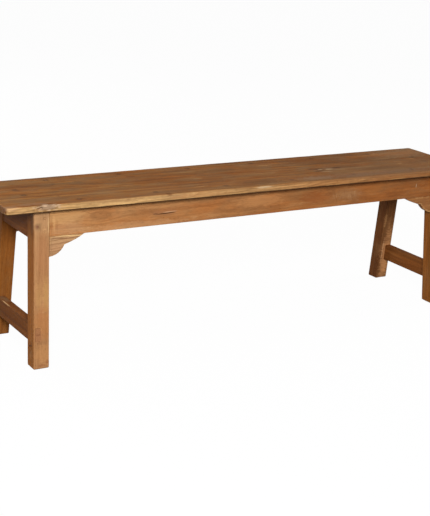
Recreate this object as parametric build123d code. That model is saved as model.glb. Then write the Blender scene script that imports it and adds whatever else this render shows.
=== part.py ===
from build123d import *
import os

# A long plain bench of solid hardwood that stands on the floor. X runs along the seat, Y from the
# front to the back and Z up. The origin is on the floor, under the middle of the seat. Millimetres.
#
# All four legs slope: a foot stands well out in front of (or behind) its head, and a little beyond
# it towards the bench's end. The long boards lie in the slope of the legs' faces and the end boards
# in the lean of the legs' outer sides. All widths and thicknesses are measured level with the floor.

# Bench
bench_height = 450.0
seat_length = 1600.0
seat_depth = 296.0

# Seat plank: seat_depth is its depth in the middle, and it is deeper at its right end than at its
# left one by seat_taper
seat_thickness = 20.0
seat_taper = 26.0
seat_corner_radius = 9.0
seat_top_ease = 4.5
seat_bottom_ease = 1.5

# Legs
leg_width = 45.0
leg_depth = 42.0
leg_arris = 1.6
foot_ease = 1.8
end_overhang = 84.0
front_overhang = 27.0
splay = 40.5
lean = 11.0

# Long boards under the front and the back of the seat
apron_depth = 72.0
apron_thickness = 20.0
apron_inset = 0.6
apron_ease = 1.0
apron_tenon_length = 26.0
apron_tenon_thickness = 8.0
apron_tenon_shoulder = 7.0
apron_tenon_haunch = 12.0

# Brackets in the corners between the long boards and the legs. They were sawn by hand, and the
# right pair came out longer than the left one.
bracket_length_left = 103.0
bracket_length_right = 117.0
bracket_drop = 54.0
bracket_ease = 0.9
cusp_reach_share = 0.43
cusp_drop_share = 0.46
lower_lobe_bulge_share = 0.14
upper_lobe_bulge_share = 0.04

# End boards under the seat
end_rail_depth = 80.0
end_rail_thickness = 20.0
end_rail_inset = 1.5
end_rail_ease = 1.0
end_rail_tenon_length = 30.0
end_rail_tenon_thickness = 8.0
end_rail_tenon_shoulder = 8.0
end_rail_tenon_haunch = 12.0

# Low stretchers, whose tenons go right through the legs and are wedged from outside
stretcher_underside = 70.0
stretcher_depth = 52.0
stretcher_thickness = 22.0
stretcher_inset = 1.5
stretcher_ease = 1.5
stretcher_tenon_thickness = 14.0
stretcher_tenon_shoulder = 8.0
stretcher_tenon_proud = 0.6
wedge_length = 28.0
wedge_head = 4.0
wedge_tip = 1.0

# Wooden pegs: an upper and a lower one through each apron tenon, on into the leg. They are whittled
# to eight sides, and their corners bite in round holes
peg_sides = 8
peg_diameter = 6.5
peg_bite = 16.0
peg_point = 1.2
peg_margin = 9.5

# Cut nails: flat heads on square shanks that taper to a blunt tip
nail_head_length = 6.0
nail_head_width = 4.4
nail_head_thickness = 1.2
nail_shank = 3.0
nail_tip = 1.4
nail_set = 0.6
seat_nail_length = 50.0
seat_nail_margin = 91.0
seat_nail_columns = 6
end_nail_spread_share = 0.4
rail_nail_length = 34.0
bracket_nail_length = 32.0
bracket_nail_reach_share = 0.66

# Clearances
joint_gap = 0.2
mortise_clearance = 0.2
mortise_end_gap = 0.8
peg_clearance = 0.05
nail_clearance = 0.1
wedge_clearance = 0.05
overrun = 10.0

# Heights that the pieces share
leg_height = bench_height - seat_thickness
apron_underside = leg_height - apron_depth
end_rail_underside = leg_height - end_rail_depth
stretcher_top = stretcher_underside + stretcher_depth

# How far each tenon lies behind the legs' faces or outer sides, from the middle of its board
apron_tenon_set = apron_inset + (apron_thickness - apron_tenon_thickness) / 2
end_rail_tenon_set = end_rail_inset + (end_rail_thickness - end_rail_tenon_thickness) / 2
stretcher_tenon_set = stretcher_inset + (stretcher_thickness - stretcher_tenon_thickness) / 2

# Directions of the slopes: up a leg, and squarely into its face
leg_rise = Vector(-lean, splay, leg_height)
into_leg_face = Vector(0, leg_height, -splay).normalized()


def face_y(z):
    """Distance from the bench's middle to the legs' faces, at height z."""
    return seat_depth / 2 - front_overhang + splay * (1 - z / leg_height)


def side_x(z):
    """Distance from the bench's middle to the legs' outer sides, at height z."""
    return seat_length / 2 - end_overhang + lean * (1 - z / leg_height)


def inner_x(z):
    """Distance from the bench's middle to the legs' inner sides, at height z."""
    return side_x(z) - leg_width


def inner_y(z):
    """Distance from the bench's middle to the legs' inner faces, at height z."""
    return face_y(z) - leg_depth


def apron_half_length(z):
    """Half the length of an apron between its shoulders, at height z."""
    return inner_x(z) - joint_gap


def end_half_length(z):
    """Half the length of an end rail or stretcher between its shoulders, at height z."""
    return inner_y(z) - joint_gap


def board_corners(low, high, half_length):
    """Corners of a board from height low to high, whose half length changes with the height."""
    heights = ((-1, low), (1, low), (1, high), (-1, high))
    return [(side * half_length(z), z) for side, z in heights]


def long_board(outline, set_back, thickness):
    """Board in the slope of the front legs' faces, from its (x, z) corners."""
    corners = [(x, set_back - face_y(z), z) for x, z in outline]
    return extrude(make_face(Polyline(*corners, close=True)), amount=thickness, dir=(0, 1, 0))


def end_board(outline, set_in, thickness):
    """Board in the lean of the right legs' outer sides, from its (y, z) corners."""
    corners = [(side_x(z) - set_in, y, z) for y, z in outline]
    return extrude(make_face(Polyline(*corners, close=True)), amount=thickness, dir=(-1, 0, 0))


def ease_lower_edges(board, axis, radius):
    """Round the two long edges along a board's underside."""
    return fillet(board.edges().filter_by(axis).group_by(Axis.Z)[0], radius)


def to_left(shape):
    """The same piece at the bench's left end."""
    return mirror(shape, about=Plane.YZ)


def to_back(shape):
    """The same piece at the bench's back."""
    return mirror(shape, about=Plane.XZ)


def face_plane(x, z, depth=0):
    """Plane on the front right leg's face, Z pointing squarely out, depth below the surface."""
    origin = Vector(x, -face_y(z), z) + into_leg_face * depth
    return Plane(origin, x_dir=(1, 0, 0), z_dir=-into_leg_face)


def nail(length, grow=0, sink=0):
    """Cut nail that points down, with the top of its head at the origin.

    grow makes it larger all round and sink carries the head's shape upwards, for its hole.
    """
    head = Pos(0, 0, -nail_head_thickness - grow) * Box(
        nail_head_length + 2 * grow,
        nail_head_width + 2 * grow,
        nail_head_thickness + grow + sink,
        align=(Align.CENTER, Align.CENTER, Align.MIN),
    )
    neck = Pos(0, 0, -nail_head_thickness) * Rectangle(nail_shank + 2 * grow, nail_shank + 2 * grow)
    tip = Pos(0, 0, -length - grow) * Rectangle(nail_tip + 2 * grow, nail_tip + 2 * grow)
    return head + loft([neck, tip])


def nail_hole(length):
    """Hole that a nail fills, open above the head."""
    return nail(length, nail_clearance, overrun)


def apron_tenon_heights():
    """Lowest and highest level of an apron's tenons."""
    return apron_underside + apron_tenon_shoulder, leg_height - apron_tenon_haunch


def end_rail_tenon_heights():
    """Lowest and highest level of an end rail's tenons."""
    return end_rail_underside + end_rail_tenon_shoulder, leg_height - end_rail_tenon_haunch


def apron_tenon(grow=0):
    """Tenon at the front apron's right end, or with grow the mortise that takes it."""
    low, high = apron_tenon_heights()
    reach = apron_tenon_length + (mortise_end_gap if grow else 0)
    outline = []
    for end, z in ((-apron_tenon_length, low - grow), (reach, low - grow)):
        outline.append((inner_x(z) + end, z))
    for end, z in ((reach, high + grow), (-apron_tenon_length, high + grow)):
        outline.append((inner_x(z) + end, z))
    return long_board(outline, apron_tenon_set - grow, apron_tenon_thickness + 2 * grow)


def end_rail_tenon(grow=0):
    """Tenon at the right end rail's front end, or with grow the mortise that takes it."""
    low, high = end_rail_tenon_heights()
    reach = end_rail_tenon_length + (mortise_end_gap if grow else 0)
    outline = []
    for end, z in ((-end_rail_tenon_length, low - grow), (reach, low - grow)):
        outline.append((-inner_y(z) - end, z))
    for end, z in ((reach, high + grow), (-end_rail_tenon_length, high + grow)):
        outline.append((-inner_y(z) - end, z))
    return end_board(outline, end_rail_tenon_set - grow, end_rail_tenon_thickness + 2 * grow)


def stretcher_tenon(grow=0):
    """Through tenon at the right stretcher's front end, or with grow the mortise for it."""
    low = stretcher_underside + stretcher_tenon_shoulder - grow
    high = stretcher_top - stretcher_tenon_shoulder + grow
    proud = overrun if grow else stretcher_tenon_proud
    outline = [
        (-inner_y(low) + leg_depth, low),
        (-face_y(low) - proud, low),
        (-face_y(high) - proud, high),
        (-inner_y(high) + leg_depth, high),
    ]
    return end_board(outline, stretcher_tenon_set - grow, stretcher_tenon_thickness + 2 * grow)


def stretcher_wedge(grow=0):
    """Wedge in the end of that through tenon, or with grow the slot for it."""
    middle = stretcher_underside + stretcher_depth / 2
    head = wedge_head / 2 + grow
    tip = wedge_tip / 2 + grow
    root = wedge_length - face_y(middle) + grow
    proud = stretcher_tenon_proud + grow
    outline = [
        (-face_y(middle - head) - proud, middle - head),
        (-face_y(middle + head) - proud, middle + head),
        (root, middle + tip),
        (root, middle - tip),
    ]
    return end_board(outline, stretcher_tenon_set - grow, stretcher_tenon_thickness + 2 * grow)


def peg_places():
    """Where the pegs enter the front right leg's face, as (x, z)."""
    low, high = apron_tenon_heights()
    return [(inner_x(z) + apron_tenon_length / 2, z) for z in (low + peg_margin, high - peg_margin)]


def peg_length():
    """Length of a peg: through the apron's tenon and its bite into the leg behind."""
    return apron_tenon_set + apron_tenon_thickness + peg_bite


def peg(place):
    """Whittled peg, flush with the leg's face, that narrows at its hidden end."""
    plug = extrude(RegularPolygon(peg_diameter / 2, peg_sides), amount=-peg_length())
    return face_plane(*place) * chamfer(plug.edges().group_by(Axis.Z)[0], peg_point)


def peg_hole(place):
    """Hole for a peg, open at the leg's face."""
    depth = peg_length() + peg_clearance
    radius = peg_diameter / 2 + peg_clearance
    bore = Cylinder(radius, depth + overrun, align=(Align.CENTER, Align.CENTER, Align.MIN))
    return face_plane(*place, depth) * bore


def rail_nail_plane():
    """Plane of the nail that enters the front right leg's face and the end rail's tenon."""
    low, high = end_rail_tenon_heights()
    z = (low + high) / 2
    return face_plane(side_x(z) - end_rail_tenon_set - end_rail_tenon_thickness / 2, z, nail_set)


def apron_nail_places():
    """Where the seat is nailed to the front apron, as (x, y) on the seat."""
    last = inner_x(leg_height) - seat_nail_margin
    pitch = 2 * last / (seat_nail_columns - 1)
    y = apron_inset + apron_thickness / 2 - face_y(leg_height)
    return [(column * pitch - last, y) for column in range(seat_nail_columns)]


def end_nail_places():
    """Where the seat is nailed to the right end rail, as (x, y) on the seat."""
    x = side_x(leg_height) - end_rail_inset - end_rail_thickness / 2
    reach = inner_y(leg_height) * end_nail_spread_share
    return [(x, -reach), (x, reach)]


def seat_level(place):
    """Position of a nail head in the seat, punched a little below its surface."""
    x, y = place
    return Pos(x, y, bench_height - nail_set)


def bracket_nail_level(length):
    """Position of the nail in the front right bracket: it points up into the apron."""
    reach = length * bracket_nail_reach_share
    cusp_reach = length * cusp_reach_share
    drop = bracket_drop * cusp_drop_share * (length - reach) / (length - cusp_reach)
    x = inner_x(apron_underside) - reach
    y = apron_inset + apron_thickness / 2 - face_y(apron_underside)
    return Pos(x, y, apron_underside - drop + nail_set) * Rot(180, 0, 0)


def leg():
    """Front right leg, with the mortises, peg holes and nail hole in it."""
    foot = Pos(side_x(0) - leg_width / 2, leg_depth / 2 - face_y(0), 0)
    body = extrude(foot * Rectangle(leg_width, leg_depth), amount=leg_rise.length, dir=leg_rise)
    body = chamfer(body.edges().group_by(Axis.Z)[0], foot_ease)
    body = fillet(body.edges() - body.edges().filter_by(Plane.XY), leg_arris)
    body -= apron_tenon(mortise_clearance)
    body -= end_rail_tenon(mortise_clearance)
    body -= stretcher_tenon(mortise_clearance)
    for place in peg_places():
        body -= peg_hole(place)
    return body - rail_nail_plane() * nail_hole(rail_nail_length)


def front_apron():
    """Front apron: a board shouldered against the legs, with a pegged tenon at each end."""
    corners = board_corners(apron_underside, leg_height, apron_half_length)
    board = long_board(corners, apron_inset, apron_thickness)
    board = ease_lower_edges(board, Axis.X, apron_ease)
    tenon = apron_tenon()
    for place in peg_places():
        tenon -= peg_hole(place)
    board += tenon + to_left(tenon)
    for place in apron_nail_places():
        board -= seat_level(place) * nail_hole(seat_nail_length)
    board -= bracket_nail_level(bracket_length_right) * nail_hole(bracket_nail_length)
    return board - to_left(bracket_nail_level(bracket_length_left) * nail_hole(bracket_nail_length))


def lobe_crown(start, end, bulge_share):
    """Crown of a lobe: the middle of its chord, pushed outwards by a share of the chord."""
    reach = start[0] - end[0]
    fall = end[1] - start[1]
    middle_reach = (start[0] + end[0]) / 2
    middle_drop = (start[1] + end[1]) / 2
    return middle_reach + fall * bulge_share, middle_drop + reach * bulge_share


def front_right_bracket(length):
    """Front right bracket: two rounded lobes that meet in a cusp under the apron."""

    def place(reach, drop):
        """Point at a distance from the leg and below the apron, in the slope of the legs."""
        z = apron_underside - drop
        return Vector(inner_x(z) - joint_gap - reach, apron_inset - face_y(z), z)

    heel = (0, 0)
    toe = (0, bracket_drop)
    cusp = (length * cusp_reach_share, bracket_drop * cusp_drop_share)
    tip = (length, 0)
    lower_crown = lobe_crown(cusp, toe, lower_lobe_bulge_share)
    upper_crown = lobe_crown(tip, cusp, upper_lobe_bulge_share)
    outline = [
        Line(place(*tip), place(*heel)),
        Line(place(*heel), place(*toe)),
        ThreePointArc(place(*toe), place(*lower_crown), place(*cusp)),
        ThreePointArc(place(*cusp), place(*upper_crown), place(*tip)),
    ]
    block = extrude(make_face(outline), amount=apron_thickness, dir=(0, 1, 0))
    block = chamfer(block.edges().filter_by(GeomType.CIRCLE), bracket_ease)
    return block - bracket_nail_level(length) * nail_hole(bracket_nail_length)


def right_end_rail():
    """Right end rail: a board between the two legs, with a nailed tenon at each end."""
    corners = board_corners(end_rail_underside, leg_height, end_half_length)
    board = end_board(corners, end_rail_inset, end_rail_thickness)
    board = ease_lower_edges(board, Axis.Y, end_rail_ease)
    tenon = end_rail_tenon() - rail_nail_plane() * nail_hole(rail_nail_length)
    board += tenon + to_back(tenon)
    for place in end_nail_places():
        board -= seat_level(place) * nail_hole(seat_nail_length)
    return board


def right_stretcher():
    """Right stretcher: a low board with a wedged through tenon at each end."""
    corners = board_corners(stretcher_underside, stretcher_top, end_half_length)
    board = end_board(corners, stretcher_inset, stretcher_thickness)
    board = fillet(board.edges().filter_by(Axis.Y), stretcher_ease)
    tenon = stretcher_tenon() - stretcher_wedge(wedge_clearance)
    return board + tenon + to_back(tenon)


def seat_plank():
    """Seat: one tapered plank with rounded corners and worn upper edges, nailed from above."""
    corners = []
    for end, side in ((-1, -1), (1, -1), (1, 1), (-1, 1)):
        depth = seat_depth + end * seat_taper / 2
        corners.append((end * seat_length / 2, side * depth / 2, leg_height))
    plank = extrude(make_face(Polyline(*corners, close=True)), amount=seat_thickness, dir=(0, 0, 1))
    plank = fillet(plank.edges().filter_by(Axis.Z), seat_corner_radius)
    plank = fillet(plank.edges().group_by(Axis.Z)[-1], seat_top_ease)
    plank = chamfer(plank.edges().group_by(Axis.Z)[0], seat_bottom_ease)
    for place in apron_nail_places():
        hole = seat_level(place) * nail_hole(seat_nail_length)
        plank -= hole + to_back(hole)
    for place in end_nail_places():
        hole = seat_level(place) * nail_hole(seat_nail_length)
        plank -= hole + to_left(hole)
    return plank


def on_all_legs(pieces):
    """Copies of the front right leg's pieces for all four legs, as separate solids."""
    front = pieces + [to_left(piece) for piece in pieces]
    return Compound(children=front + [to_back(piece) for piece in front])


def bracket_nails():
    """One nail in each bracket."""
    right = bracket_nail_level(bracket_length_right) * nail(bracket_nail_length)
    left = to_left(bracket_nail_level(bracket_length_left) * nail(bracket_nail_length))
    return Compound(children=[right, left, to_back(right), to_back(left)])


def seat_nails():
    """Nails that hold the seat on the aprons and the end rails."""
    front = [seat_level(place) * nail(seat_nail_length) for place in apron_nail_places()]
    right = [seat_level(place) * nail(seat_nail_length) for place in end_nail_places()]
    others = [to_back(each) for each in front] + [to_left(each) for each in right]
    return Compound(children=front + right + others)


def build_bench():
    """Every piece of the bench by its node's name."""
    front_right_leg = leg()
    front_left_leg = to_left(front_right_leg)
    apron = front_apron()
    right_bracket = front_right_bracket(bracket_length_right)
    left_bracket = to_left(front_right_bracket(bracket_length_left))
    end_rail = right_end_rail()
    stretcher = right_stretcher()
    return {
        "seat_plank": seat_plank(),
        "front_right_leg": front_right_leg,
        "front_left_leg": front_left_leg,
        "back_right_leg": to_back(front_right_leg),
        "back_left_leg": to_back(front_left_leg),
        "front_apron": apron,
        "back_apron": to_back(apron),
        "front_right_bracket": right_bracket,
        "front_left_bracket": left_bracket,
        "back_right_bracket": to_back(right_bracket),
        "back_left_bracket": to_back(left_bracket),
        "right_end_rail": end_rail,
        "left_end_rail": to_left(end_rail),
        "right_stretcher": stretcher,
        "left_stretcher": to_left(stretcher),
        "apron_pegs": on_all_legs([peg(place) for place in peg_places()]),
        "stretcher_wedges": on_all_legs([stretcher_wedge()]),
        "end_rail_nails": on_all_legs([rail_nail_plane() * nail(rail_nail_length)]),
        "seat_nails": seat_nails(),
        "bracket_nails": bracket_nails(),
    }


os.makedirs("parts", exist_ok=True)
for name, shape in build_bench().items():
    export_step(shape, f"parts/{name}.step")
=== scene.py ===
"""Looks of an old hardwood bench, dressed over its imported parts.

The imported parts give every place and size. Each board becomes a worn copy of its part: chips and
cracks are cut out of it, its faces get the faint waves of a hand plane and its edges are rubbed
down. Then it gets wood of its own, whose rings and fibres run through the whole board, so that the
grain goes round every edge and shows as end grain where the board was sawn across.
"""

import logging
import math
import random
from collections.abc import Iterator, Sequence
from contextlib import contextmanager
from dataclasses import dataclass, field
from enum import Enum

import bmesh
import bpy
from mathutils import Matrix, Vector, noise
from mathutils.kdtree import KDTree


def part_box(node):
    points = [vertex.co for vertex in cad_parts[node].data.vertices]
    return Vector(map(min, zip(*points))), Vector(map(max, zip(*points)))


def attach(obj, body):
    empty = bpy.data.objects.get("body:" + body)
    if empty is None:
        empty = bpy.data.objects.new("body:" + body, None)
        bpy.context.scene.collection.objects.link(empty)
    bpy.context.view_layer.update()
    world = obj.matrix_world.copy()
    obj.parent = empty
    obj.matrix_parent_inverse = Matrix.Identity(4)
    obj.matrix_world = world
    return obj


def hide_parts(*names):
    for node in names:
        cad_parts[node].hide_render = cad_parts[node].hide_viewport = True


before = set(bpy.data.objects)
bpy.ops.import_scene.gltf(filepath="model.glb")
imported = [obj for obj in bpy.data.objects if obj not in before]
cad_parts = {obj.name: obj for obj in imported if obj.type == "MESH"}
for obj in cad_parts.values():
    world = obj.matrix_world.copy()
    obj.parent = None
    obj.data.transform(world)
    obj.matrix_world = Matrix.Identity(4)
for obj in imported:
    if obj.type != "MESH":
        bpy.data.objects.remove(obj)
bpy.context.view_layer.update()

log = logging.getLogger("bench")

BODY = "root"

Colour = tuple[int, int, int]
Place = tuple[float, float, float]
Piece = bpy.types.Object
Socket = bpy.types.NodeSocket
Feed = Socket | float | Sequence[float]

# Inputs and outputs of effects that are vectors; all others are numbers.
VECTOR_PORTS = ("Vector", "Place", "Heart Place", "Bench", "Normal", "Reach", "Turn")


def linear(*screen: int) -> tuple[float, ...]:
    """Turns a colour as a screen shows it into the linear values that shaders take.

    Args:
        screen: Red, green and blue, from 0 to 255.

    Returns:
        Linear red, green and blue, and a full alpha.
    """
    toe, toe_slope, offset, power = 0.04045, 12.92, 0.055, 2.4
    values = []
    for value in screen:
        share = value / 255
        low = share <= toe
        values.append(share / toe_slope if low else ((share + offset) / (1 + offset)) ** power)
    return (*values, 1.0)


class Grain(Enum):
    """Which way the grain of a board runs. In a leg it goes from the foot to the head."""

    ALONG = (1, 0, 0)
    ACROSS = (0, 1, 0)
    UP = (0, 0, 1)


class Facing(Enum):
    """Which way the visible end of a fastener faces. OUT is away from the middle of the bench."""

    UP = (0, 0, 1)
    DOWN = (0, 0, -1)
    OUT = (0, 1, 0)

    def outward(self, place: Vector) -> Vector:
        """Direction of the visible end of a fastener at a place."""
        return Vector(self.value) * (math.copysign(1, place.y) if self is Facing.OUT else 1)


def make_active(piece: Piece) -> None:
    """Leaves one piece as what is selected and active.

    Args:
        piece: The piece.
    """
    bpy.ops.object.select_all(action="DESELECT")
    piece.select_set(True)
    bpy.context.view_layer.objects.active = piece


@contextmanager
def edit_mode(piece: Piece) -> Iterator[None]:
    """Opens one piece in edit mode, with faces as what is selected, and closes it again.

    Args:
        piece: The piece.
    """
    make_active(piece)
    bpy.ops.object.mode_set(mode="EDIT")
    bpy.ops.mesh.select_mode(type="FACE")
    yield
    bpy.ops.object.mode_set(mode="OBJECT")


def copy_part(node: str, name: str) -> Piece:
    """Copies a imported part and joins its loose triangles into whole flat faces.

    Args:
        node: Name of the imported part.
        name: Name of the new piece.

    Returns:
        The copy, as an object at the origin.
    """
    merge_distance = 0.00001
    flat_angle = math.radians(0.4)
    piece = bpy.data.objects.new(name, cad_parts[node].data.copy())
    bpy.context.scene.collection.objects.link(piece)
    piece.data.materials.clear()
    with edit_mode(piece):
        bpy.ops.mesh.customdata_custom_splitnormals_clear()
        bpy.ops.mesh.select_all(action="SELECT")
        bpy.ops.mesh.remove_doubles(threshold=merge_distance)
        bpy.ops.mesh.dissolve_limited(angle_limit=flat_angle)
    return piece


def finish_normals(piece: Piece, sharp_angle: float) -> None:
    """Shades a piece smoothly and keeps its flat faces flat beside its rounded edges.

    Args:
        piece: The piece.
        sharp_angle: Angle, in degrees, from which an edge stays sharp.
    """
    make_active(piece)
    bpy.ops.object.shade_smooth_by_angle(angle=math.radians(sharp_angle))
    bpy.ops.object.modifier_add(type="WEIGHTED_NORMAL")
    modifier = piece.modifiers[-1]
    modifier.keep_sharp = True
    bpy.ops.object.modifier_apply(modifier=modifier.name)


def dress(piece: Piece, node: str, material: bpy.types.Material) -> None:
    """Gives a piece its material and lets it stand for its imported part.

    Args:
        piece: The piece.
        node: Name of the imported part.
        material: The material.
    """
    piece.data.materials.append(material)
    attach(piece, BODY)
    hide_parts(node)
    log.info("%s: %d faces", piece.name, len(piece.data.polygons))


def by_place(points: Sequence[Vector]) -> KDTree:
    """Orders points, so that they can be searched by place.

    Args:
        points: The points.

    Returns:
        The points in their new order.
    """
    found = KDTree(len(points))
    for number, point in enumerate(points):
        found.insert(point, number)
    found.balance()
    return found


def distance_to(points: KDTree, place: Vector) -> float:
    """Distance from a place to the nearest point, which is endless where there is none."""
    nearest = points.find(place)[2]
    return math.inf if nearest is None else nearest


@dataclass(frozen=True)
class BoardAxes:
    """Directions and reach of one board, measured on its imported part.

    Attributes:
        middle: Centre of the board.
        along: Unit vector along the grain.
        across: Unit vector across the board's wide face.
        through: Unit vector through its thickness.
        reach: Half the board's size in these three directions.
    """

    middle: Vector
    along: Vector
    across: Vector
    through: Vector
    reach: Vector

    @classmethod
    def measure(cls, node: str, grain: Grain) -> "BoardAxes":
        """Finds the axes of a packed board.

        Args:
            node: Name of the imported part.
            grain: Which way its grain runs.

        Returns:
            The board's axes.
        """
        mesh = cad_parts[node].data
        points = [vertex.co.copy() for vertex in mesh.vertices]
        along = cls._foot_to_head(points) if grain is Grain.UP else Vector(grain.value)
        through = cls._widest_face(mesh, along)
        axes = (along, through.cross(along).normalized(), through)
        middle, reach = Vector(), []
        for axis in axes:
            span = [point.dot(axis) for point in points]
            middle += axis * (min(span) + max(span)) / 2
            reach.append((max(span) - min(span)) / 2)
        return cls(middle, *axes, Vector(reach))

    @staticmethod
    def _foot_to_head(points: list[Vector]) -> Vector:
        """Direction of a leg, from the middle of its foot to that of its head.

        Args:
            points: The leg's corners.

        Returns:
            A unit vector.
        """
        level = 0.0001
        heights = [point.z for point in points]
        ends = []
        for height in (min(heights), max(heights)):
            ring = [point for point in points if abs(point.z - height) < level]
            low = Vector(min(point[axis] for point in ring) for axis in range(3))
            high = Vector(max(point[axis] for point in ring) for axis in range(3))
            ends.append((low + high) / 2)
        return (ends[1] - ends[0]).normalized()

    @staticmethod
    def _widest_face(mesh: bpy.types.Mesh, along: Vector) -> Vector:
        """Direction in which a board's wide faces look, square to its grain.

        Args:
            mesh: The board's mesh.
            along: Unit vector along its grain.

        Returns:
            A unit vector.
        """
        end_face, decimals = 0.5, 2
        areas: dict[tuple[float, ...], float] = {}
        for face in mesh.polygons:
            normal = face.normal.copy()
            if abs(normal.dot(along)) > end_face:
                continue
            if max(normal, key=abs) < 0:
                normal.negate()
            key = tuple(round(value, decimals) for value in normal)
            areas[key] = areas.get(key, 0.0) + face.area
        widest = Vector(max(areas, key=areas.get))
        return (widest - along * widest.dot(along)).normalized()

    def on_front(self, x: float, z: float) -> Place:
        """Point of the board's front face.

        Args:
            x: Its place along the bench.
            z: Its height.

        Returns:
            The point.
        """
        lean = self.through.x * (x - self.middle.x) + self.through.z * (z - self.middle.z)
        depth = math.copysign(self.reach.z, -self.through.y)
        return (x, self.middle.y + (depth - lean) / self.through.y, z)

    def grain_space(self, tree_shift: float, tree_lean: float) -> Matrix:
        """The board's own grain space, in which X runs along the fibres.

        Args:
            tree_shift: How far along the tree this board was cut, so that no two boards match.
            tree_lean: Angle, in degrees, between the board and the heart of its tree.

        Returns:
            The matrix that carries a point of the bench into it.
        """
        lean = Matrix.Rotation(math.radians(tree_lean), 3, "Z")
        turn = lean @ Matrix((self.along, self.across, self.through))
        space = turn.to_4x4()
        space.translation = Vector((tree_shift, 0, 0)) - turn @ self.middle
        return space


class Tree:
    """Short ways to place and join the nodes of one node tree."""

    def __init__(self, tree: bpy.types.NodeTree) -> None:
        """Starts on the tree that gets the nodes."""
        self.tree = tree

    def node(self, kind: str, inputs: dict[str | int, Feed], **settings: object) -> bpy.types.Node:
        """Places a node.

        Args:
            kind: The node's type.
            inputs: What goes into it, by name or number.
            settings: Its properties.

        Returns:
            The node.
        """
        made = self.tree.nodes.new(kind)
        for name, value in settings.items():
            setattr(made, name, value)
        self.feed(made, inputs)
        return made

    def feed(self, node: bpy.types.Node, inputs: dict[str | int, Feed]) -> None:
        """Links values to a node's inputs, or sets them there.

        Args:
            node: The node.
            inputs: Other nodes' outputs, numbers, vectors or screen colours, by name or number.
        """
        for name, value in inputs.items():
            socket = node.inputs[name]
            if isinstance(value, Socket):
                self.tree.links.new(value, socket)
            else:
                socket.default_value = linear(*value) if socket.type == "RGBA" else value

    def math(self, operation: str, *values: Feed) -> Socket:
        """Sum, quotient or other function of numbers."""
        return self.node("ShaderNodeMath", dict(enumerate(values)), operation=operation).outputs[0]

    def times(self, first: Feed, second: Feed) -> Socket:
        """Product of two numbers."""
        return self.math("MULTIPLY", first, second)

    def vector(self, operation: str, *values: Feed) -> Socket:
        """Function of vectors, which is a number for a length or a dot product."""
        made = self.node("ShaderNodeVectorMath", dict(enumerate(values)), operation=operation)
        return made.outputs["Value" if operation in ("LENGTH", "DOT_PRODUCT") else "Vector"]

    def ramp(self, value: Feed, low: Feed, high: Feed, start: Feed = 0.0, end: Feed = 1.0) -> Socket:
        """Soft step between two values.

        Args:
            value: What is stepped.
            low: Where the step begins.
            high: Where it ends.
            start: Result below the step.
            end: Result above it.

        Returns:
            The result.
        """
        inputs = {"Value": value, "From Min": low, "From Max": high, "To Min": start, "To Max": end}
        made = self.node("ShaderNodeMapRange", inputs, interpolation_type="SMOOTHSTEP")
        return made.outputs["Result"]

    def mix(self, share: Feed, first: Feed, second: Feed) -> Socket:
        """Mix of two colours, with this share of the second one."""
        inputs = {0: share, 6: first, 7: second}
        return self.node("ShaderNodeMix", inputs, data_type="RGBA").outputs[2]

    def noise(self, place: Feed, scales: Feed, detail: float = 2.0, roughness: float = 0.5) -> Socket:
        """Noise from 0 to 1.

        Args:
            place: Where it is read.
            scales: Its waves per metre, or those along, across and through the grain.
            detail: How many finer layers it has.
            roughness: How strong those are.

        Returns:
            The noise.
        """
        if not isinstance(scales, float):
            place, scales = self.vector("MULTIPLY", place, scales), 1.0
        inputs = {"Vector": place, "Scale": scales, "Detail": detail, "Roughness": roughness}
        return self.node("ShaderNodeTexNoise", inputs).outputs["Fac"]

    def around_zero(self, value: Feed, strength: Feed) -> Socket:
        """A noise moved down to waver round zero, and made this strong."""
        return self.times(self.math("SUBTRACT", value, 0.5), strength)

    def without(self, value: Feed) -> Socket:
        """What a value leaves of 1."""
        return self.math("SUBTRACT", 1.0, value)

    def relief(self, height: Feed, depth: float, strength: float = 1.0) -> Socket:
        """Normal of a surface with a relief as deep as this."""
        inputs = {"Strength": strength, "Distance": depth, "Height": height}
        return self.node("ShaderNodeBump", inputs).outputs["Normal"]

    def part_of(self, vector: Feed, axis: str) -> Socket:
        """The X, Y or Z of a vector."""
        return self.node("ShaderNodeSeparateXYZ", {0: vector}).outputs[axis]

    def measured(self, name: str) -> Socket:
        """A value noted on the piece's own vertices."""
        return self.node("ShaderNodeAttribute", {}, attribute_name=name).outputs["Fac"]


class Effect:
    """A shader node group that several materials share.

    Attributes:
        title: The group's name.
        inputs: Names of its inputs.
        outputs: Names of its outputs, in the order in which draw returns them.
    """

    title: str
    inputs: tuple[str, ...]
    outputs: tuple[str, ...]

    def draw(self, tree: Tree, *given: Socket) -> Sequence[Feed]:
        """Draws the group's nodes.

        Args:
            tree: The group's tree.
            given: The group's inputs, which each effect takes by its own names.

        Returns:
            What goes to each output.
        """
        raise NotImplementedError

    def _group(self) -> bpy.types.NodeTree:
        """Builds the group the first time it is asked for.

        Returns:
            The group.
        """
        known = bpy.data.node_groups.get(self.title)
        if known:
            return known
        group = bpy.data.node_groups.new(self.title, "ShaderNodeTree")
        for names, way in ((self.inputs, "INPUT"), (self.outputs, "OUTPUT")):
            for name in names:
                kind = "NodeSocketVector" if name in VECTOR_PORTS else "NodeSocketFloat"
                group.interface.new_socket(name, in_out=way, socket_type=kind)
        tree = Tree(group)
        start = tree.node("NodeGroupInput", {})
        results = self.draw(tree, *(start.outputs[name] for name in self.inputs))
        tree.node("NodeGroupOutput", dict(zip(self.outputs, results)))
        return group

    def place(self, tree: Tree, *values: Feed) -> tuple[Socket, ...]:
        """Places the group in a material.

        Args:
            tree: The material's tree.
            values: The group's inputs, in their order.

        Returns:
            The group's outputs.
        """
        inputs = dict(zip(self.inputs, values))
        made = tree.node("ShaderNodeGroup", inputs, node_tree=self._group())
        return tuple(made.outputs[name] for name in self.outputs)


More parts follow.
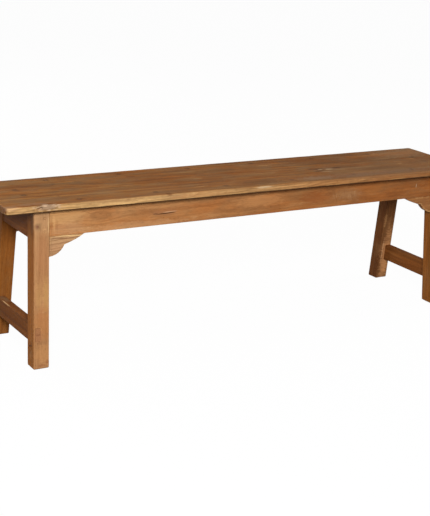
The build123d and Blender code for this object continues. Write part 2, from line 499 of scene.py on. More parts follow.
class KnotFlow(Effect):
    """A knot, and the grain that bends round it."""

    title = "Knot and its grain"
    inputs = ("Vector", "Place", "Size")
    outputs = ("Vector", "Heart", "Rim")

    def draw(self, tree: Tree, vector: Socket, place: Socket, size: Socket) -> Sequence[Feed]:
        """Squeezes the grain towards the knot, and draws its ragged heart and rim.

        Args:
            tree: The group's tree.
            vector: Place in the board's grain.
            place: Centre of the knot.
            size: Half its width across the grain.

        Returns:
            The bent place, and masks of the heart and the rim.
        """
        stretch, spread, squeeze = (0.4, 1.0, 0.6), 0.3, 0.82
        ragged_scale, ragged, rim_place = 90.0, 0.55, 1.15
        offset = tree.vector("SUBTRACT", vector, place)
        drawn_out = tree.vector("LENGTH", tree.vector("MULTIPLY", offset, stretch))
        distance = tree.math("DIVIDE", drawn_out, size)
        fall = tree.math("EXPONENT", tree.times(tree.math("POWER", distance, 2.0), -spread))
        keep = tree.without(tree.times(fall, squeeze))
        scale = tree.node("ShaderNodeCombineXYZ", {"X": 1.0, "Y": keep, "Z": keep}).outputs[0]
        flow = tree.vector("ADD", tree.vector("MULTIPLY", offset, scale), place)
        edge = tree.math("ADD", distance, tree.times(tree.noise(vector, ragged_scale), ragged))
        rim = tree.math("ABSOLUTE", tree.math("SUBTRACT", edge, rim_place))
        return flow, tree.ramp(edge, 0.8, 1.25, 1.0, 0.0), tree.ramp(rim, 0.0, 0.4, 1.0, 0.0)


class GrowthRings(Effect):
    """Growth rings of a tree: a slowly changing tone and the thin dark line that ends a ring."""

    title = "Growth rings"
    inputs = ("Vector", "Heart Place", "Ring Width", "Wander")
    outputs = ("Tone", "Line")

    def draw(
        self, tree: Tree, vector: Socket, heart: Socket, width: Socket, wander: Socket
    ) -> Sequence[Feed]:
        """Counts the years outwards from the heart of the tree, unevenly.

        Args:
            tree: The group's tree.
            vector: Place in the board's grain.
            heart: Heart of the tree.
            width: Width of a year's ring.
            wander: How far the rings wander.

        Returns:
            The tone and a mask of the ring lines.
        """
        slow_scales, quick_scales, quick_share = (1.1, 5.0, 5.0), (7.0, 34.0, 34.0), 0.22
        tone_pitch, line_start, unevenness = 0.31, 0.45, 2.0
        section = tree.vector("MULTIPLY", tree.vector("SUBTRACT", vector, heart), (0.0, 1.0, 1.0))
        slow = tree.noise(vector, slow_scales, 1.0)
        quick = tree.times(tree.noise(vector, quick_scales, 1.0), quick_share)
        bend = tree.times(tree.math("ADD", slow, quick), wander)
        radius = tree.math("ADD", tree.vector("LENGTH", section), bend)
        count = tree.math("DIVIDE", radius, width)
        inputs = {"W": tree.times(count, tone_pitch), "Scale": 1.0, "Detail": 3.0}
        years = tree.node("ShaderNodeTexNoise", inputs, noise_dimensions="1D").outputs["Fac"]
        part = tree.math("FRACT", tree.math("ADD", count, tree.times(years, unevenness)))
        line = tree.times(tree.ramp(part, line_start, 0.93), tree.ramp(part, 0.95, 1.0, 1.0, 0.0))
        return tree.ramp(years, 0.3, 0.7), line


class Fibres(Effect):
    """Fibres of the wood: long streaks, fine flecks and the dark dashes of open pores."""

    title = "Fibres and pores"
    inputs = ("Vector",)
    outputs = ("Streak", "Fleck", "Pore")

    def draw(self, tree: Tree, vector: Socket) -> Sequence[Feed]:
        """Stretches three noises along the grain.

        Args:
            tree: The group's tree.
            vector: Place in the board's grain.

        Returns:
            Masks of the streaks, flecks and pores.
        """
        streak_scales, fleck_scales = (2.6, 95.0, 95.0), (16.0, 520.0, 520.0)
        pore_scales = (70.0, 1500.0, 1500.0)
        streak = tree.ramp(tree.noise(vector, streak_scales, 3.0, 0.62), 0.34, 0.7)
        fleck = tree.ramp(tree.noise(vector, fleck_scales), 0.3, 0.72)
        return streak, fleck, tree.ramp(tree.noise(vector, pore_scales, 1.0), 0.6, 0.72)


class WornEdge(Effect):
    """Wear along the edges: rubbed pale on the very edge and grimy beside it."""

    title = "Worn edge"
    inputs = ("Vector", "Edge")
    outputs = ("Rubbed", "Grime")

    def draw(self, tree: Tree, vector: Socket, edge: Socket) -> Sequence[Feed]:
        """Breaks the wear up into patches.

        Args:
            tree: The group's tree.
            vector: Place in the board's grain.
            edge: How near an edge is.

        Returns:
            Masks of the rubbed and of the grimy places.
        """
        worn = tree.times(edge, tree.ramp(tree.noise(vector, 24.0, 4.0, 0.65), 0.38, 0.62))
        dirty = tree.ramp(tree.noise(vector, 11.0, 5.0, 0.7), 0.5, 0.66)
        return tree.ramp(worn, 0.35, 0.8), tree.times(tree.ramp(edge, 0.05, 0.45), dirty)


class Film(Effect):
    """What years of use leave on a face: a grey film, dark spots and fine scratches."""

    title = "Film of use"
    inputs = ("Vector",)
    outputs = ("Grey", "Spots", "Scratches")

    def draw(self, tree: Tree, vector: Socket) -> Sequence[Feed]:
        """Draws soft patches, small spots, and scratches that cross the grain at an angle.

        Args:
            tree: The group's tree.
            vector: Place in the board's grain.

        Returns:
            Masks of the film, the spots and the scratches.
        """
        slant, scratch_scales = (0.0, 0.0, 0.5), (18.0, 700.0, 40.0)
        grey = tree.ramp(tree.noise(vector, (5.0, 26.0, 26.0), 5.0, 0.66), 0.42, 0.68)
        spots = tree.ramp(tree.noise(vector, 130.0), 0.7, 0.76)
        turned = tree.node("ShaderNodeMapping", {"Vector": vector, "Rotation": slant}).outputs[0]
        scratch = tree.ramp(tree.noise(turned, scratch_scales, 1.0), 0.68, 0.74)
        return grey, spots, tree.times(scratch, tree.ramp(tree.noise(vector, 9.0), 0.5, 0.64))


class PaintedLightSides(Effect):
    """Painted light: the faces that look out of the bench's long sides, which are painted paler, as a
    lamp in front of the bench lights them.
    """

    title = "Painted light on long sides"
    inputs = ("Vector", "Bench", "Normal")
    outputs = ("Mask",)

    def draw(self, tree: Tree, vector: Socket, bench: Socket, normal: Socket) -> Sequence[Feed]:
        """Masks the outer long sides fully and the inner ones by half.

        Args:
            tree: The group's tree.
            vector: Place in the board's grain.
            bench: Place on the bench.
            normal: Direction in which the face looks.

        Returns:
            The mask.
        """
        ragged, inner_share = 0.55, 0.5
        facing = tree.vector("DOT_PRODUCT", normal, (0.0, 1.0, 0.0))
        outward = tree.times(facing, tree.math("SIGN", tree.part_of(bench, "Y")))
        uneven = tree.around_zero(tree.noise(vector, (14.0, 40.0, 40.0), 3.0), ragged)
        outer = tree.ramp(tree.math("ADD", uneven, outward), 0.3, 0.75)
        inner = tree.ramp(tree.math("SUBTRACT", uneven, outward), 0.3, 0.75, 0.0, inner_share)
        return (tree.math("MAXIMUM", outer, inner),)


class UnderSeatShade(Effect):
    """Painted shade: height right under the seat, where the wood is painted dark as the seat's shade
    falls there.
    """

    title = "Painted shade under the seat"
    inputs = ("Vector", "Bench")
    outputs = ("Mask",)

    def draw(self, tree: Tree, vector: Socket, bench: Socket) -> Sequence[Feed]:
        """Fades in between two heights, unevenly.

        Args:
            tree: The group's tree.
            vector: Place in the board's grain.
            bench: Place on the bench.

        Returns:
            The mask.
        """
        ragged, low, high = 0.06, 0.335, 0.43
        uneven = tree.around_zero(tree.noise(vector, (9.0, 60.0, 60.0), 3.0), ragged)
        return (tree.ramp(tree.math("ADD", tree.part_of(bench, "Z"), uneven), low, high),)


class Mark(Effect):
    """One stain, scuff or streak at a place of its own."""

    title = "Mark"
    inputs = ("Vector", "Place", "Reach", "Turn", "Ragged", "Full")
    outputs = ("Mask",)

    def draw(
        self,
        tree: Tree,
        vector: Socket,
        place: Socket,
        reach: Socket,
        turn: Socket,
        ragged: Socket,
        full: Socket,
    ) -> Sequence[Feed]:
        """Draws a turned, ragged blot.

        Args:
            tree: The group's tree.
            vector: Place on the bench.
            place: Centre of the mark.
            reach: Half its size.
            turn: Its angles.
            ragged: How torn its outline is.
            full: Share of the reach up to which it keeps its full strength.

        Returns:
            The mask.
        """
        inputs = {"Vector": tree.vector("SUBTRACT", vector, place), "Rotation": turn}
        settings = {"rotation_type": "EULER_XYZ", "invert": True}
        turned = tree.node("ShaderNodeVectorRotate", inputs, **settings).outputs[0]
        distance = tree.vector("LENGTH", tree.vector("DIVIDE", turned, reach))
        torn = tree.around_zero(tree.noise(vector, (60.0, 220.0, 220.0), 3.0, 0.6), ragged)
        return (tree.ramp(tree.math("ADD", distance, torn), full, 1.0, 1.0, 0.0),)


def new_material(name: str) -> tuple[bpy.types.Material, Tree, bpy.types.Node]:
    """Starts a material.

    Args:
        name: Its name.

    Returns:
        The material, its tree and its shader.
    """
    made = bpy.data.materials.new(name)
    made.use_nodes = True
    return made, Tree(made.node_tree), made.node_tree.nodes["Principled BSDF"]


@dataclass(frozen=True)
class Knot:
    """A knot in a board.

    Attributes:
        place: Its centre on the board's face.
        size: Half its width across the grain.
        darkness: How dark its rim is, from 0 to 1.
    """

    place: Place
    size: float
    darkness: float


@dataclass(frozen=True)
class Stain:
    """A stain, scuff or streak on a board.

    Attributes:
        place: Its centre.
        reach: Half its size along X, Y and Z.
        colour: Its colour.
        strength: Its share of the colour there, from 0 to 1.
        ragged: How torn its outline is. Two marks of opposite raggedness tear in opposite places.
        turn: Angles about X, Y and Z, in degrees.
        full: Share of the reach up to which it keeps its full strength.
    """

    place: Place
    reach: Place
    colour: Colour
    strength: float
    ragged: float
    turn: Place = (0.0, 0.0, 0.0)
    full: float = 0.4


@dataclass(frozen=True)
class Bite:
    """A chip broken out of an edge, or a crack: what is cut out of a board.

    Attributes:
        place: Its centre.
        reach: Half its size along X, Y and Z, before it is turned.
        turn: Angle about Y, in degrees.
        bare: How much fresh, pale wood it bares, from 0 to 1.
    """

    place: Place
    reach: Place
    turn: float
    bare: float


@dataclass(frozen=True)
class WoodFinish:
    """Finish of one board.

    Attributes:
        pale: Colour of the wood early in a year's ring.
        deep: Colour late in the ring.
        streak: Colour of its dark streaks and ring lines.
        amber: Colour of its warmer patches.
        lit_side: Paler colour painted on the faces that look out of the bench's long sides, as painted
            light from a lamp in front.
        lit_side_share: Share of that painted light there.
        far: Colour that the wood drifts to at the far end of the board, partly its own darker tone and
            partly painted shade where the light falls off.
        far_lit_side: The same for the faces with painted light on the long sides.
        drift: Share of those colours at the far end.
        drift_start: Where that begins, from -1 at the near end to 1 at the far one.
        under_seat_shade: How dark the painted shade right under the seat is.
        mottle: How strong its soft dark and light patches are.
        blots: How strong its warm and grey patches are.
        rubbed: Colour of rubbed edges.
        grime: Colour of the dirt beside them, in pores and in cracks.
        film: Colour of the film of use.
        film_share: How much of that film there is.
        heart_place: Heart of the tree, across and through the board from its middle.
        ring_width: Width of a year's ring.
        wander: How far the rings wander.
        tree_lean: Angle between the board and its tree, in degrees.
        lines: How strong the ring lines are.
        streaks: How strong the streaks are.
        roughness: Roughness of the waxed wood.
        gloss: How much light its surface reflects.
    """

    pale: Colour
    deep: Colour
    streak: Colour
    amber: Colour = (186, 116, 60)
    lit_side: Colour = (198, 172, 130)
    lit_side_share: float = 0.26
    far: Colour = (160, 97, 50)
    far_lit_side: Colour = (172, 108, 60)
    drift: float = 0.0
    drift_start: float = -1.1
    under_seat_shade: float = 0.0
    mottle: float = 0.12
    blots: float = 0.2
    rubbed: Colour = (206, 158, 104)
    grime: Colour = (62, 35, 16)
    film: Colour = (150, 114, 74)
    film_share: float = 0.2
    heart_place: tuple[float, float] = (0.02, 0.09)
    ring_width: float = 0.0035
    wander: float = 0.03
    tree_lean: float = 1.2
    lines: float = 0.3
    streaks: float = 0.4
    roughness: float = 0.6
    gloss: float = 0.07


@dataclass
class WoodPainter:
    """Paints the wood of one board, coat over coat, in a material of its own.

    Attributes:
        name: Name of the material.
        finish: The board's finish.
        axes: Its axes.
        tree_shift: How far along the tree it was cut.
        knots: Its knots.
        stains: Its stains.
    """

    name: str
    finish: WoodFinish
    axes: BoardAxes
    tree_shift: float
    knots: Sequence[Knot]
    stains: Sequence[Stain]

    def __post_init__(self) -> None:
        """Starts the material, with places on the bench and in the board's grain to read."""
        self.made, self.tree, self.shader = new_material(self.name)
        self.bench = self.tree.node("ShaderNodeTexCoord", {}).outputs["Object"]
        self.normal = self.tree.node("ShaderNodeNewGeometry", {}).outputs["Normal"]
        self.space = self.axes.grain_space(self.tree_shift, self.finish.tree_lean)
        inputs = {
            "Vector": self.bench,
            "Location": self.space.translation,
            "Rotation": Vector(self.space.to_euler("XYZ")),
        }
        self.grain = self.tree.node("ShaderNodeMapping", inputs).outputs["Vector"]

    def coat(self, *coats: tuple[Feed, Feed, Feed]) -> None:
        """Lays colours over the wood, each where its mask shows and with its share there."""
        for colour, mask, share in coats:
            self.wood = self.tree.mix(self.tree.times(mask, share), self.wood, colour)

    def material(self) -> bpy.types.Material:
        """Paints the board.

        Returns:
            The material.
        """
        fleck_share, pore_share, heart_share, bare_share = 0.16, 0.4, 0.55, 0.7
        film_dullness, line_gloss = 0.2, 0.05
        tree, look = self.tree, self.finish
        flow, knots = self.grain, []
        for knot in self.knots:
            place = self.space @ Vector(knot.place)
            flow, heart, rim = KnotFlow().place(tree, flow, place, knot.size)
            knots.append((heart, rim, knot.darkness))
        heart_place = (0.0, *look.heart_place)
        tone, line = GrowthRings().place(tree, flow, heart_place, look.ring_width, look.wander)
        streak, fleck, pore = Fibres().place(tree, flow)
        # Mask of the faces of the long sides, which get a paler colour as painted light from a lamp in
        # front.
        (side,) = PaintedLightSides().place(tree, self.grain, self.bench, self.normal)
        self.wood = tree.mix(tone, look.pale, look.deep)
        self._long_sides(side)
        self._figure(flow, tree.without(tree.times(side, look.lit_side_share)))
        self.coat(
            (look.streak, line, look.lines),
            (look.streak, streak, look.streaks),
            (look.streak, fleck, fleck_share),
            (look.grime, pore, pore_share),
        )
        for heart, rim, darkness in knots:
            self.coat((look.streak, heart, heart_share * darkness), (look.grime, rim, darkness))
        self._end_grain(flow)
        film, scratches = self._use()
        # Painted shade right under the seat, in the dirt colour, on all but the faces with painted light.
        if look.under_seat_shade:
            (dark,) = UnderSeatShade().place(tree, self.grain, self.bench)
            self.coat((look.grime, tree.times(dark, tree.without(side)), look.under_seat_shade))
        torn = tree.mix(fleck, look.rubbed, look.film)
        self.coat((torn, tree.measured("bare"), bare_share))
        self._stain()
        dull = tree.ramp(film, 0.0, 1.0, look.roughness, look.roughness + film_dullness)
        inputs = {
            "Base Color": self.wood,
            "Roughness": tree.math("SUBTRACT", dull, tree.times(line, line_gloss)),
            "Specular IOR Level": look.gloss,
            "Normal": self._relief(line, fleck, pore, scratches, [rim for _, rim, _ in knots]),
        }
        tree.feed(self.shader, inputs)
        return self.made

    def _long_sides(self, side: Socket) -> None:
        """Paints light on the bench's long sides as a paler colour, and lets the wood drift to another
        tone along the board, partly its own tone and partly painted shade where the light falls off.

        Args:
            side: Mask of the long sides that get painted light.
        """
        tree, look = self.tree, self.finish
        lit_side = tree.times(side, look.lit_side_share)
        self.coat((look.lit_side, lit_side, 1.0))
        # The drift to the far colours is partly painted shade where the light falls off along the bench.
        if look.drift:
            patches = tree.math("SUBTRACT", tree.noise(self.grain, (3.0, 9.0, 9.0), 3.0), 0.5)
            place = tree.math("SUBTRACT", tree.part_of(self.grain, "X"), self.tree_shift)
            place = tree.math("ADD", tree.math("DIVIDE", place, self.axes.reach.x), patches)
            share = tree.ramp(place, look.drift_start, 1.0, 0.0, look.drift)
            self.coat((tree.mix(lit_side, look.far, look.far_lit_side), share, 1.0))

    def _figure(self, flow: Socket, shown: Socket) -> None:
        """Lays warm figure, warm and grey blots, and dark and light patches over the wood.

        Args:
            flow: Place in the grain, which bends round the knots.
            shown: Share of its own colour that the paler colour of the painted light on the long sides
                leaves the wood.
        """
        tree, look = self.tree, self.finish
        figure = tree.ramp(tree.noise(flow, (1.4, 16.0, 16.0)), 0.4, 0.66, 0.0, 0.6)
        blots = tree.noise(flow, (11.0, 26.0, 26.0), 3.0, 0.6)
        patches = tree.noise(flow, (8.0, 42.0, 42.0), 4.0, 0.6)
        strength = tree.times(shown, look.blots)
        self.coat(
            (look.amber, figure, shown),
            (look.amber, tree.ramp(blots, 0.49, 0.61), strength),
            (look.film, tree.ramp(blots, 0.39, 0.51, 1.0, 0.0), strength),
            (look.streak, tree.ramp(patches, 0.48, 0.72), look.mottle),
            (look.rubbed, tree.ramp(patches, 0.28, 0.5, 1.0, 0.0), look.mottle),
        )

    def _end_grain(self, flow: Socket) -> None:
        """Darkens the sawn ends, where the wood drinks more dirt and wax.

        Args:
            flow: Place in the grain, which bends round the knots.
        """
        tree = self.tree
        facing = tree.math("ABSOLUTE", tree.vector("DOT_PRODUCT", self.normal, self.axes.along))
        speckle = tree.ramp(tree.noise(flow, (1.0, 900.0, 900.0)), 0.3, 0.7, 0.45, 0.85)
        self.coat((self.finish.streak, tree.ramp(facing, 0.6, 0.9), speckle))

    def _use(self) -> tuple[Socket, Socket]:
        """Adds the film, spots, scratches and edge wear that use has left.

        Returns:
            Masks of the film and of the scratches.
        """
        tree, look = self.tree, self.finish
        grey, spots, scratches = Film().place(tree, self.grain)
        rubbed, grime = WornEdge().place(tree, self.grain, tree.measured("edge"))
        film = tree.times(grey, look.film_share)
        self.coat(
            (look.film, film, 1.0),
            (look.grime, spots, 0.4),
            (look.rubbed, scratches, 0.3),
            (look.grime, grime, 0.2),
            (look.rubbed, rubbed, 0.5),
            (look.grime, tree.ramp(tree.measured("iron"), 0.1, 0.95), 0.6),
        )
        return film, scratches

    def _stain(self) -> None:
        """Adds the board's stains, one after the other."""
        for stain in self.stains:
            turn = tuple(math.radians(angle) for angle in stain.turn)
            values = (self.bench, stain.place, stain.reach, turn, stain.ragged, stain.full)
            (mask,) = Mark().place(self.tree, *values)
            self.coat((stain.colour, mask, stain.strength))

    def _relief(
        self, line: Socket, fleck: Socket, pore: Socket, scratches: Socket, rims: list[Socket]
    ) -> Socket:
        """Sinks pores, scratches and knots into the surface and lifts lines and flecks.

        Args:
            line: Mask of the ring lines.
            fleck: Mask of the flecks.
            pore: Mask of the pores.
            scratches: Mask of the scratches.
            rims: Masks of the knots' rims.

        Returns:
            The surface's normal.
        """
        line_share, fleck_share, rim_share, strength, depth = 0.35, 0.3, 0.8, 0.8, 0.0004
        tree = self.tree
        height = tree.math("ADD", tree.times(line, line_share), tree.times(fleck, fleck_share))
        sunk = [(pore, 0.7), (scratches, 0.4)] + [(rim, rim_share) for rim in rims]
        for mask, share in sunk:
            height = tree.math("SUBTRACT", height, tree.times(mask, share))
        return tree.relief(height, depth, strength)


@dataclass(frozen=True)
class PegFinish:
    """Finish of the visible ends of pegs and wedges.

    Attributes:
        wood: Colour of the end grain.
        dark: Colour of its pores.
        seam: Colour of the dirt in the seam round it.
    """

    wood: Colour = (184, 138, 94)
    dark: Colour = (162, 116, 76)
    seam: Colour = (146, 102, 66)

    def material(self, name: str) -> bpy.types.Material:
        """Builds the material.

        Args:
            name: Name of the material.

        Returns:
            The material.
        """
        tone_scale, pore_scale, dark_share, seam_share = 40.0, 1500.0, 0.5, 0.6
        strength, depth, roughness, gloss = 0.6, 0.0002, 0.62, 0.07
        made, tree, shader = new_material(name)
        place = tree.node("ShaderNodeTexCoord", {}).outputs["Object"]
        tone = tree.ramp(tree.noise(place, tone_scale), 0.35, 0.65)
        pores = tree.ramp(tree.noise(place, pore_scale), 0.45, 0.7)
        wood = self.wood
        for mask in (tone, pores):
            wood = tree.mix(tree.times(mask, dark_share), wood, self.dark)
        wood = tree.mix(tree.ramp(tree.measured("rim"), 0.5, 1.0, 0.0, seam_share), wood, self.seam)
        look = {
            "Base Color": wood,
            "Roughness": roughness,
            "Specular IOR Level": gloss,
            "Normal": tree.relief(tree.without(pores), depth, strength),
        }
        tree.feed(shader, look)
        return made


@dataclass(frozen=True)
class IronFinish:
    """Finish of hand-made nails.

    Attributes:
        iron: Colour of the bare iron.
        pit: Colour of its pits.
        rust: Colour of the rust.
        rust_share: How much of a nail is rusty.
    """

    iron: Colour = (96, 70, 54)
    pit: Colour = (38, 32, 29)
    rust: Colour = (134, 86, 56)
    rust_share: float = 0.8

    def material(self, name: str) -> bpy.types.Material:
        """Builds the material.

        Args:
            name: Name of the material.

        Returns:
            The material.
        """
        rust_scale, pit_scale, depth = 700.0, 2600.0, 0.0002
        made, tree, shader = new_material(name)
        place = tree.node("ShaderNodeTexCoord", {}).outputs["Object"]
        start = 0.62 - self.rust_share / 3
        rust = tree.ramp(tree.noise(place, rust_scale, 4.0, 0.65), start, start + 0.1)
        pits = tree.noise(place, pit_scale)
        iron = tree.mix(tree.ramp(pits, 0.45, 0.65), self.iron, self.pit)
        look = {
            "Base Color": tree.mix(rust, iron, self.rust),
            "Metallic": tree.ramp(rust, 0.0, 1.0, 0.7, 0.05),
            "Roughness": tree.ramp(rust, 0.0, 1.0, 0.5, 0.85),
            "Normal": tree.relief(tree.math("ADD", pits, rust), depth),
        }
        tree.feed(shader, look)
        return made


@dataclass
class Board:
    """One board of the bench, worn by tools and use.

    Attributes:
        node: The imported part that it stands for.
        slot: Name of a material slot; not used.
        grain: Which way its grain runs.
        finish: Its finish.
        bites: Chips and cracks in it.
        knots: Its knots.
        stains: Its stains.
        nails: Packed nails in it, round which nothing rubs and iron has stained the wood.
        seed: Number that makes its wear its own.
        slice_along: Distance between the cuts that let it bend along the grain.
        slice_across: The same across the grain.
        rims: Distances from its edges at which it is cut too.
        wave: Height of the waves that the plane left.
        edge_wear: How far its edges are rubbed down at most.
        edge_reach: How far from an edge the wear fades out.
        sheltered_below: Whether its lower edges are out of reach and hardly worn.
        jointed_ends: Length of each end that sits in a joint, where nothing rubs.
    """

    node: str
    slot: str
    grain: Grain
    finish: WoodFinish
    bites: list[Bite] = field(default_factory=list)
    knots: list[Knot] = field(default_factory=list)
    stains: list[Stain] = field(default_factory=list)
    nails: str = ""
    seed: int = 0
    slice_along: float = 0.012
    slice_across: float = 0.012
    rims: tuple[float, ...] = (0.002, 0.005)
    wave: float = 0.00035
    edge_wear: float = 0.0008
    edge_reach: float = 0.012
    sheltered_below: bool = False
    jointed_ends: float = 0.0

    def __post_init__(self) -> None:
        """Measures the board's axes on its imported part."""
        self.axes = BoardAxes.measure(self.node, self.grain)

    def build(self) -> None:
        """Makes the worn board and gives it its wood."""
        sharp_angle, boards_apart = 32.0, 3.1
        piece = copy_part(self.node, f"worn_{self.node}")
        if self.bites:
            self._cut_bites(piece)
        self._slice(piece)
        self._wear(piece)
        finish_normals(piece, sharp_angle)
        shift = boards_apart * (self.seed + 1)
        cut = (self.finish, self.axes, shift, self.knots, self.stains)
        wood = WoodPainter(f"wood of {self.node}", *cut).material()
        dress(piece, self.node, wood)

    def _cut_bites(self, piece: Piece) -> None:
        """Cuts the chips and cracks out of the board.

        Args:
            piece: The board's piece.
        """
        roughness = 0.16
        cutters = []
        for number, bite in enumerate(self.bites):
            bpy.ops.object.select_all(action="DESELECT")
            bpy.ops.mesh.primitive_ico_sphere_add(subdivisions=2, radius=1.0)
            cutter = bpy.context.active_object
            turn = math.radians(bite.turn)
            with edit_mode(cutter):
                bpy.ops.mesh.select_all(action="SELECT")
                bpy.ops.transform.vertex_random(offset=roughness, seed=self.seed + number)
                bpy.ops.transform.resize(value=bite.reach)
                bpy.ops.transform.rotate(value=turn, orient_axis="Y", center_override=(0, 0, 0))
                bpy.ops.transform.translate(value=bite.place)
            cutters.append(cutter)
        make_active(cutters[0])
        for cutter in cutters[1:]:
            cutter.select_set(True)
        if len(cutters) > 1:
            bpy.ops.object.join()
        tool = bpy.context.active_object
        make_active(piece)
        bpy.ops.object.modifier_add(type="BOOLEAN")
        modifier = piece.modifiers[-1]
        modifier.object = tool
        modifier.operation = "DIFFERENCE"
        modifier.solver = "EXACT"
        modifier.use_self = True
        bpy.ops.object.modifier_apply(modifier=modifier.name)
        bpy.data.objects.remove(tool)

    def _rows(self, reach: float, pitch: float) -> list[float]:
        """Places of the cuts between two opposite faces.

        Args:
            reach: Half the distance between the faces.
            pitch: Distance between cuts.

        Returns:
            The places, from the board's middle.
        """
        count = max(1, round(2 * reach / pitch))
        rows = [reach * (2 * step / count - 1) for step in range(1, count)]
        inner = reach - self.rims[-1] - pitch / 3
        rows = [row for row in rows if abs(row) < inner]
        for rim in self.rims:
            if rim < reach:
                rows += [rim - reach, reach - rim]
        return rows

    def _slice(self, piece: Piece) -> None:
        """Cuts the board's faces in rows, so that they can bend.

        Args:
            piece: The board's piece.
        """
        axes = self.axes
        pitches = (self.slice_along, self.slice_across, self.slice_across)
        with edit_mode(piece):
            for normal, reach, pitch in zip((axes.along, axes.across, axes.through), axes.reach, pitches):
                for row in self._rows(reach, pitch):
                    bpy.ops.mesh.select_all(action="SELECT")
                    bpy.ops.mesh.bisect(plane_co=axes.middle + normal * row, plane_no=normal)

    def _corners(self, mesh: bmesh.types.BMesh, nails: KDTree) -> KDTree:
        """Points of the board's edges, but for those of the nails' holes.

        Args:
            mesh: The board's mesh.
            nails: Corners of the nails in it.

        Returns:
            The points, to be searched by place.
        """
        sharp, hole = math.radians(9), 0.002
        corners = set()
        for edge in mesh.edges:
            if edge.is_manifold and edge.is_convex and edge.calc_face_angle(0.0) > sharp:
                corners.update(edge.verts)
        return by_place([corner.co for corner in corners if distance_to(nails, corner.co) > hole])

    def _nearness(self, corners: KDTree, place: Vector) -> float:
        """How near an edge a place is.

        Args:
            corners: Points of the edges.
            place: The place.

        Returns:
            A share: 1 on the edge, 0 beyond the reach of wear or in a joint.
        """
        fall, fade = 1.5, 0.006
        nearness = max(0.0, 1 - distance_to(corners, place) / self.edge_reach) ** fall
        if self.jointed_ends:
            from_end = self.axes.reach.x - abs((place - self.axes.middle).dot(self.axes.along))
            nearness *= min(1.0, max(0.0, (from_end - self.jointed_ends) / fade + 1))
        return nearness

    def _wear(self, piece: Piece) -> None:
        """Rubs the edges down, lets the faces wave and notes where edges, chips and iron are.

        Args:
            piece: The board's piece.
        """
        wave_length, edge_wave_length, halo = 0.045, 0.028, 0.012
        even_rub, uneven_rub, sheltered_share = 0.45, 0.9, 0.15
        boards_apart = (5.3, 2.9, 1.7)
        shift = Vector(self.seed * step for step in boards_apart)
        mesh = bmesh.new()
        mesh.from_mesh(piece.data)
        edge, bare, iron = (mesh.verts.layers.float.new(name) for name in ("edge", "bare", "iron"))
        mesh.normal_update()
        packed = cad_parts[self.nails].data.vertices if self.nails else []
        nails = by_place([vertex.co for vertex in packed])
        corners = self._corners(mesh, nails)
        moves = []
        for vertex in mesh.verts:
            nearness = self._nearness(corners, vertex.co)
            vertex[edge] = nearness
            vertex[bare] = self._bareness(vertex.co)
            vertex[iron] = max(0.0, 1 - distance_to(nails, vertex.co) / halo)
            wave = 0.5 + 0.5 * noise.noise((vertex.co + shift) / wave_length)
            rub = even_rub + uneven_rub * noise.noise((vertex.co - shift) / edge_wave_length)
            rub = max(0.0, rub) * nearness**2
            if self.sheltered_below and vertex.co.z < self.axes.middle.z:
                rub *= sheltered_share
            moves.append((vertex, vertex.normal * (self.wave * wave + self.edge_wear * rub)))
        for vertex, move in moves:
            vertex.co -= move
        mesh.to_mesh(piece.data)
        mesh.free()

    def _bareness(self, point: Vector) -> float:
        """How much bare wood shows at a point.

        Args:
            point: A point of the board.

        Returns:
            A share, from 0 to 1.
        """
        margin = 1.12
        for bite in self.bites:
            offset = Matrix.Rotation(math.radians(bite.turn), 3, "Y") @ (point - Vector(bite.place))
            if sum((part / size) ** 2 for part, size in zip(offset, bite.reach)) < margin**2:
                return bite.bare
        return 0.0


# Leg and rail woods. Their paler colour on the faces of the long sides is painted light, and their
# darkening right under the seat is painted shade.
HONEY = WoodFinish(
    pale=(172, 110, 50), deep=(150, 89, 34), streak=(114, 64, 25), amber=(172, 104, 48),
    lit_side=(208, 168, 126), lit_side_share=0.56, under_seat_shade=0.75, blots=0.1, lines=0.2, streaks=0.3,
    gloss=0.03,
)
BROWN = WoodFinish(
    pale=(155, 96, 40), deep=(135, 78, 29), streak=(95, 53, 21), amber=(155, 90, 36),
    lit_side=(182, 120, 66), lit_side_share=0.3, rubbed=(186, 124, 66), under_seat_shade=0.75, mottle=0.2,
    gloss=0.03,
)
DEEP_BROWN = WoodFinish(
    pale=(124, 76, 42), deep=(103, 61, 31), streak=(68, 37, 16), amber=(114, 65, 28),
    lit_side=(202, 144, 90), lit_side_share=0.64, rubbed=(186, 126, 72), under_seat_shade=0.8, mottle=0.26,
    gloss=0.03,
)
DARK_OAK = WoodFinish(
    pale=(142, 88, 42), deep=(119, 69, 31), streak=(84, 46, 20), amber=(140, 78, 33),
    lit_side=(170, 112, 62), lit_side_share=0.15, rubbed=(178, 122, 70), film=(132, 88, 48),
    film_share=0.14, under_seat_shade=0.62, mottle=0.2, gloss=0.025,
)


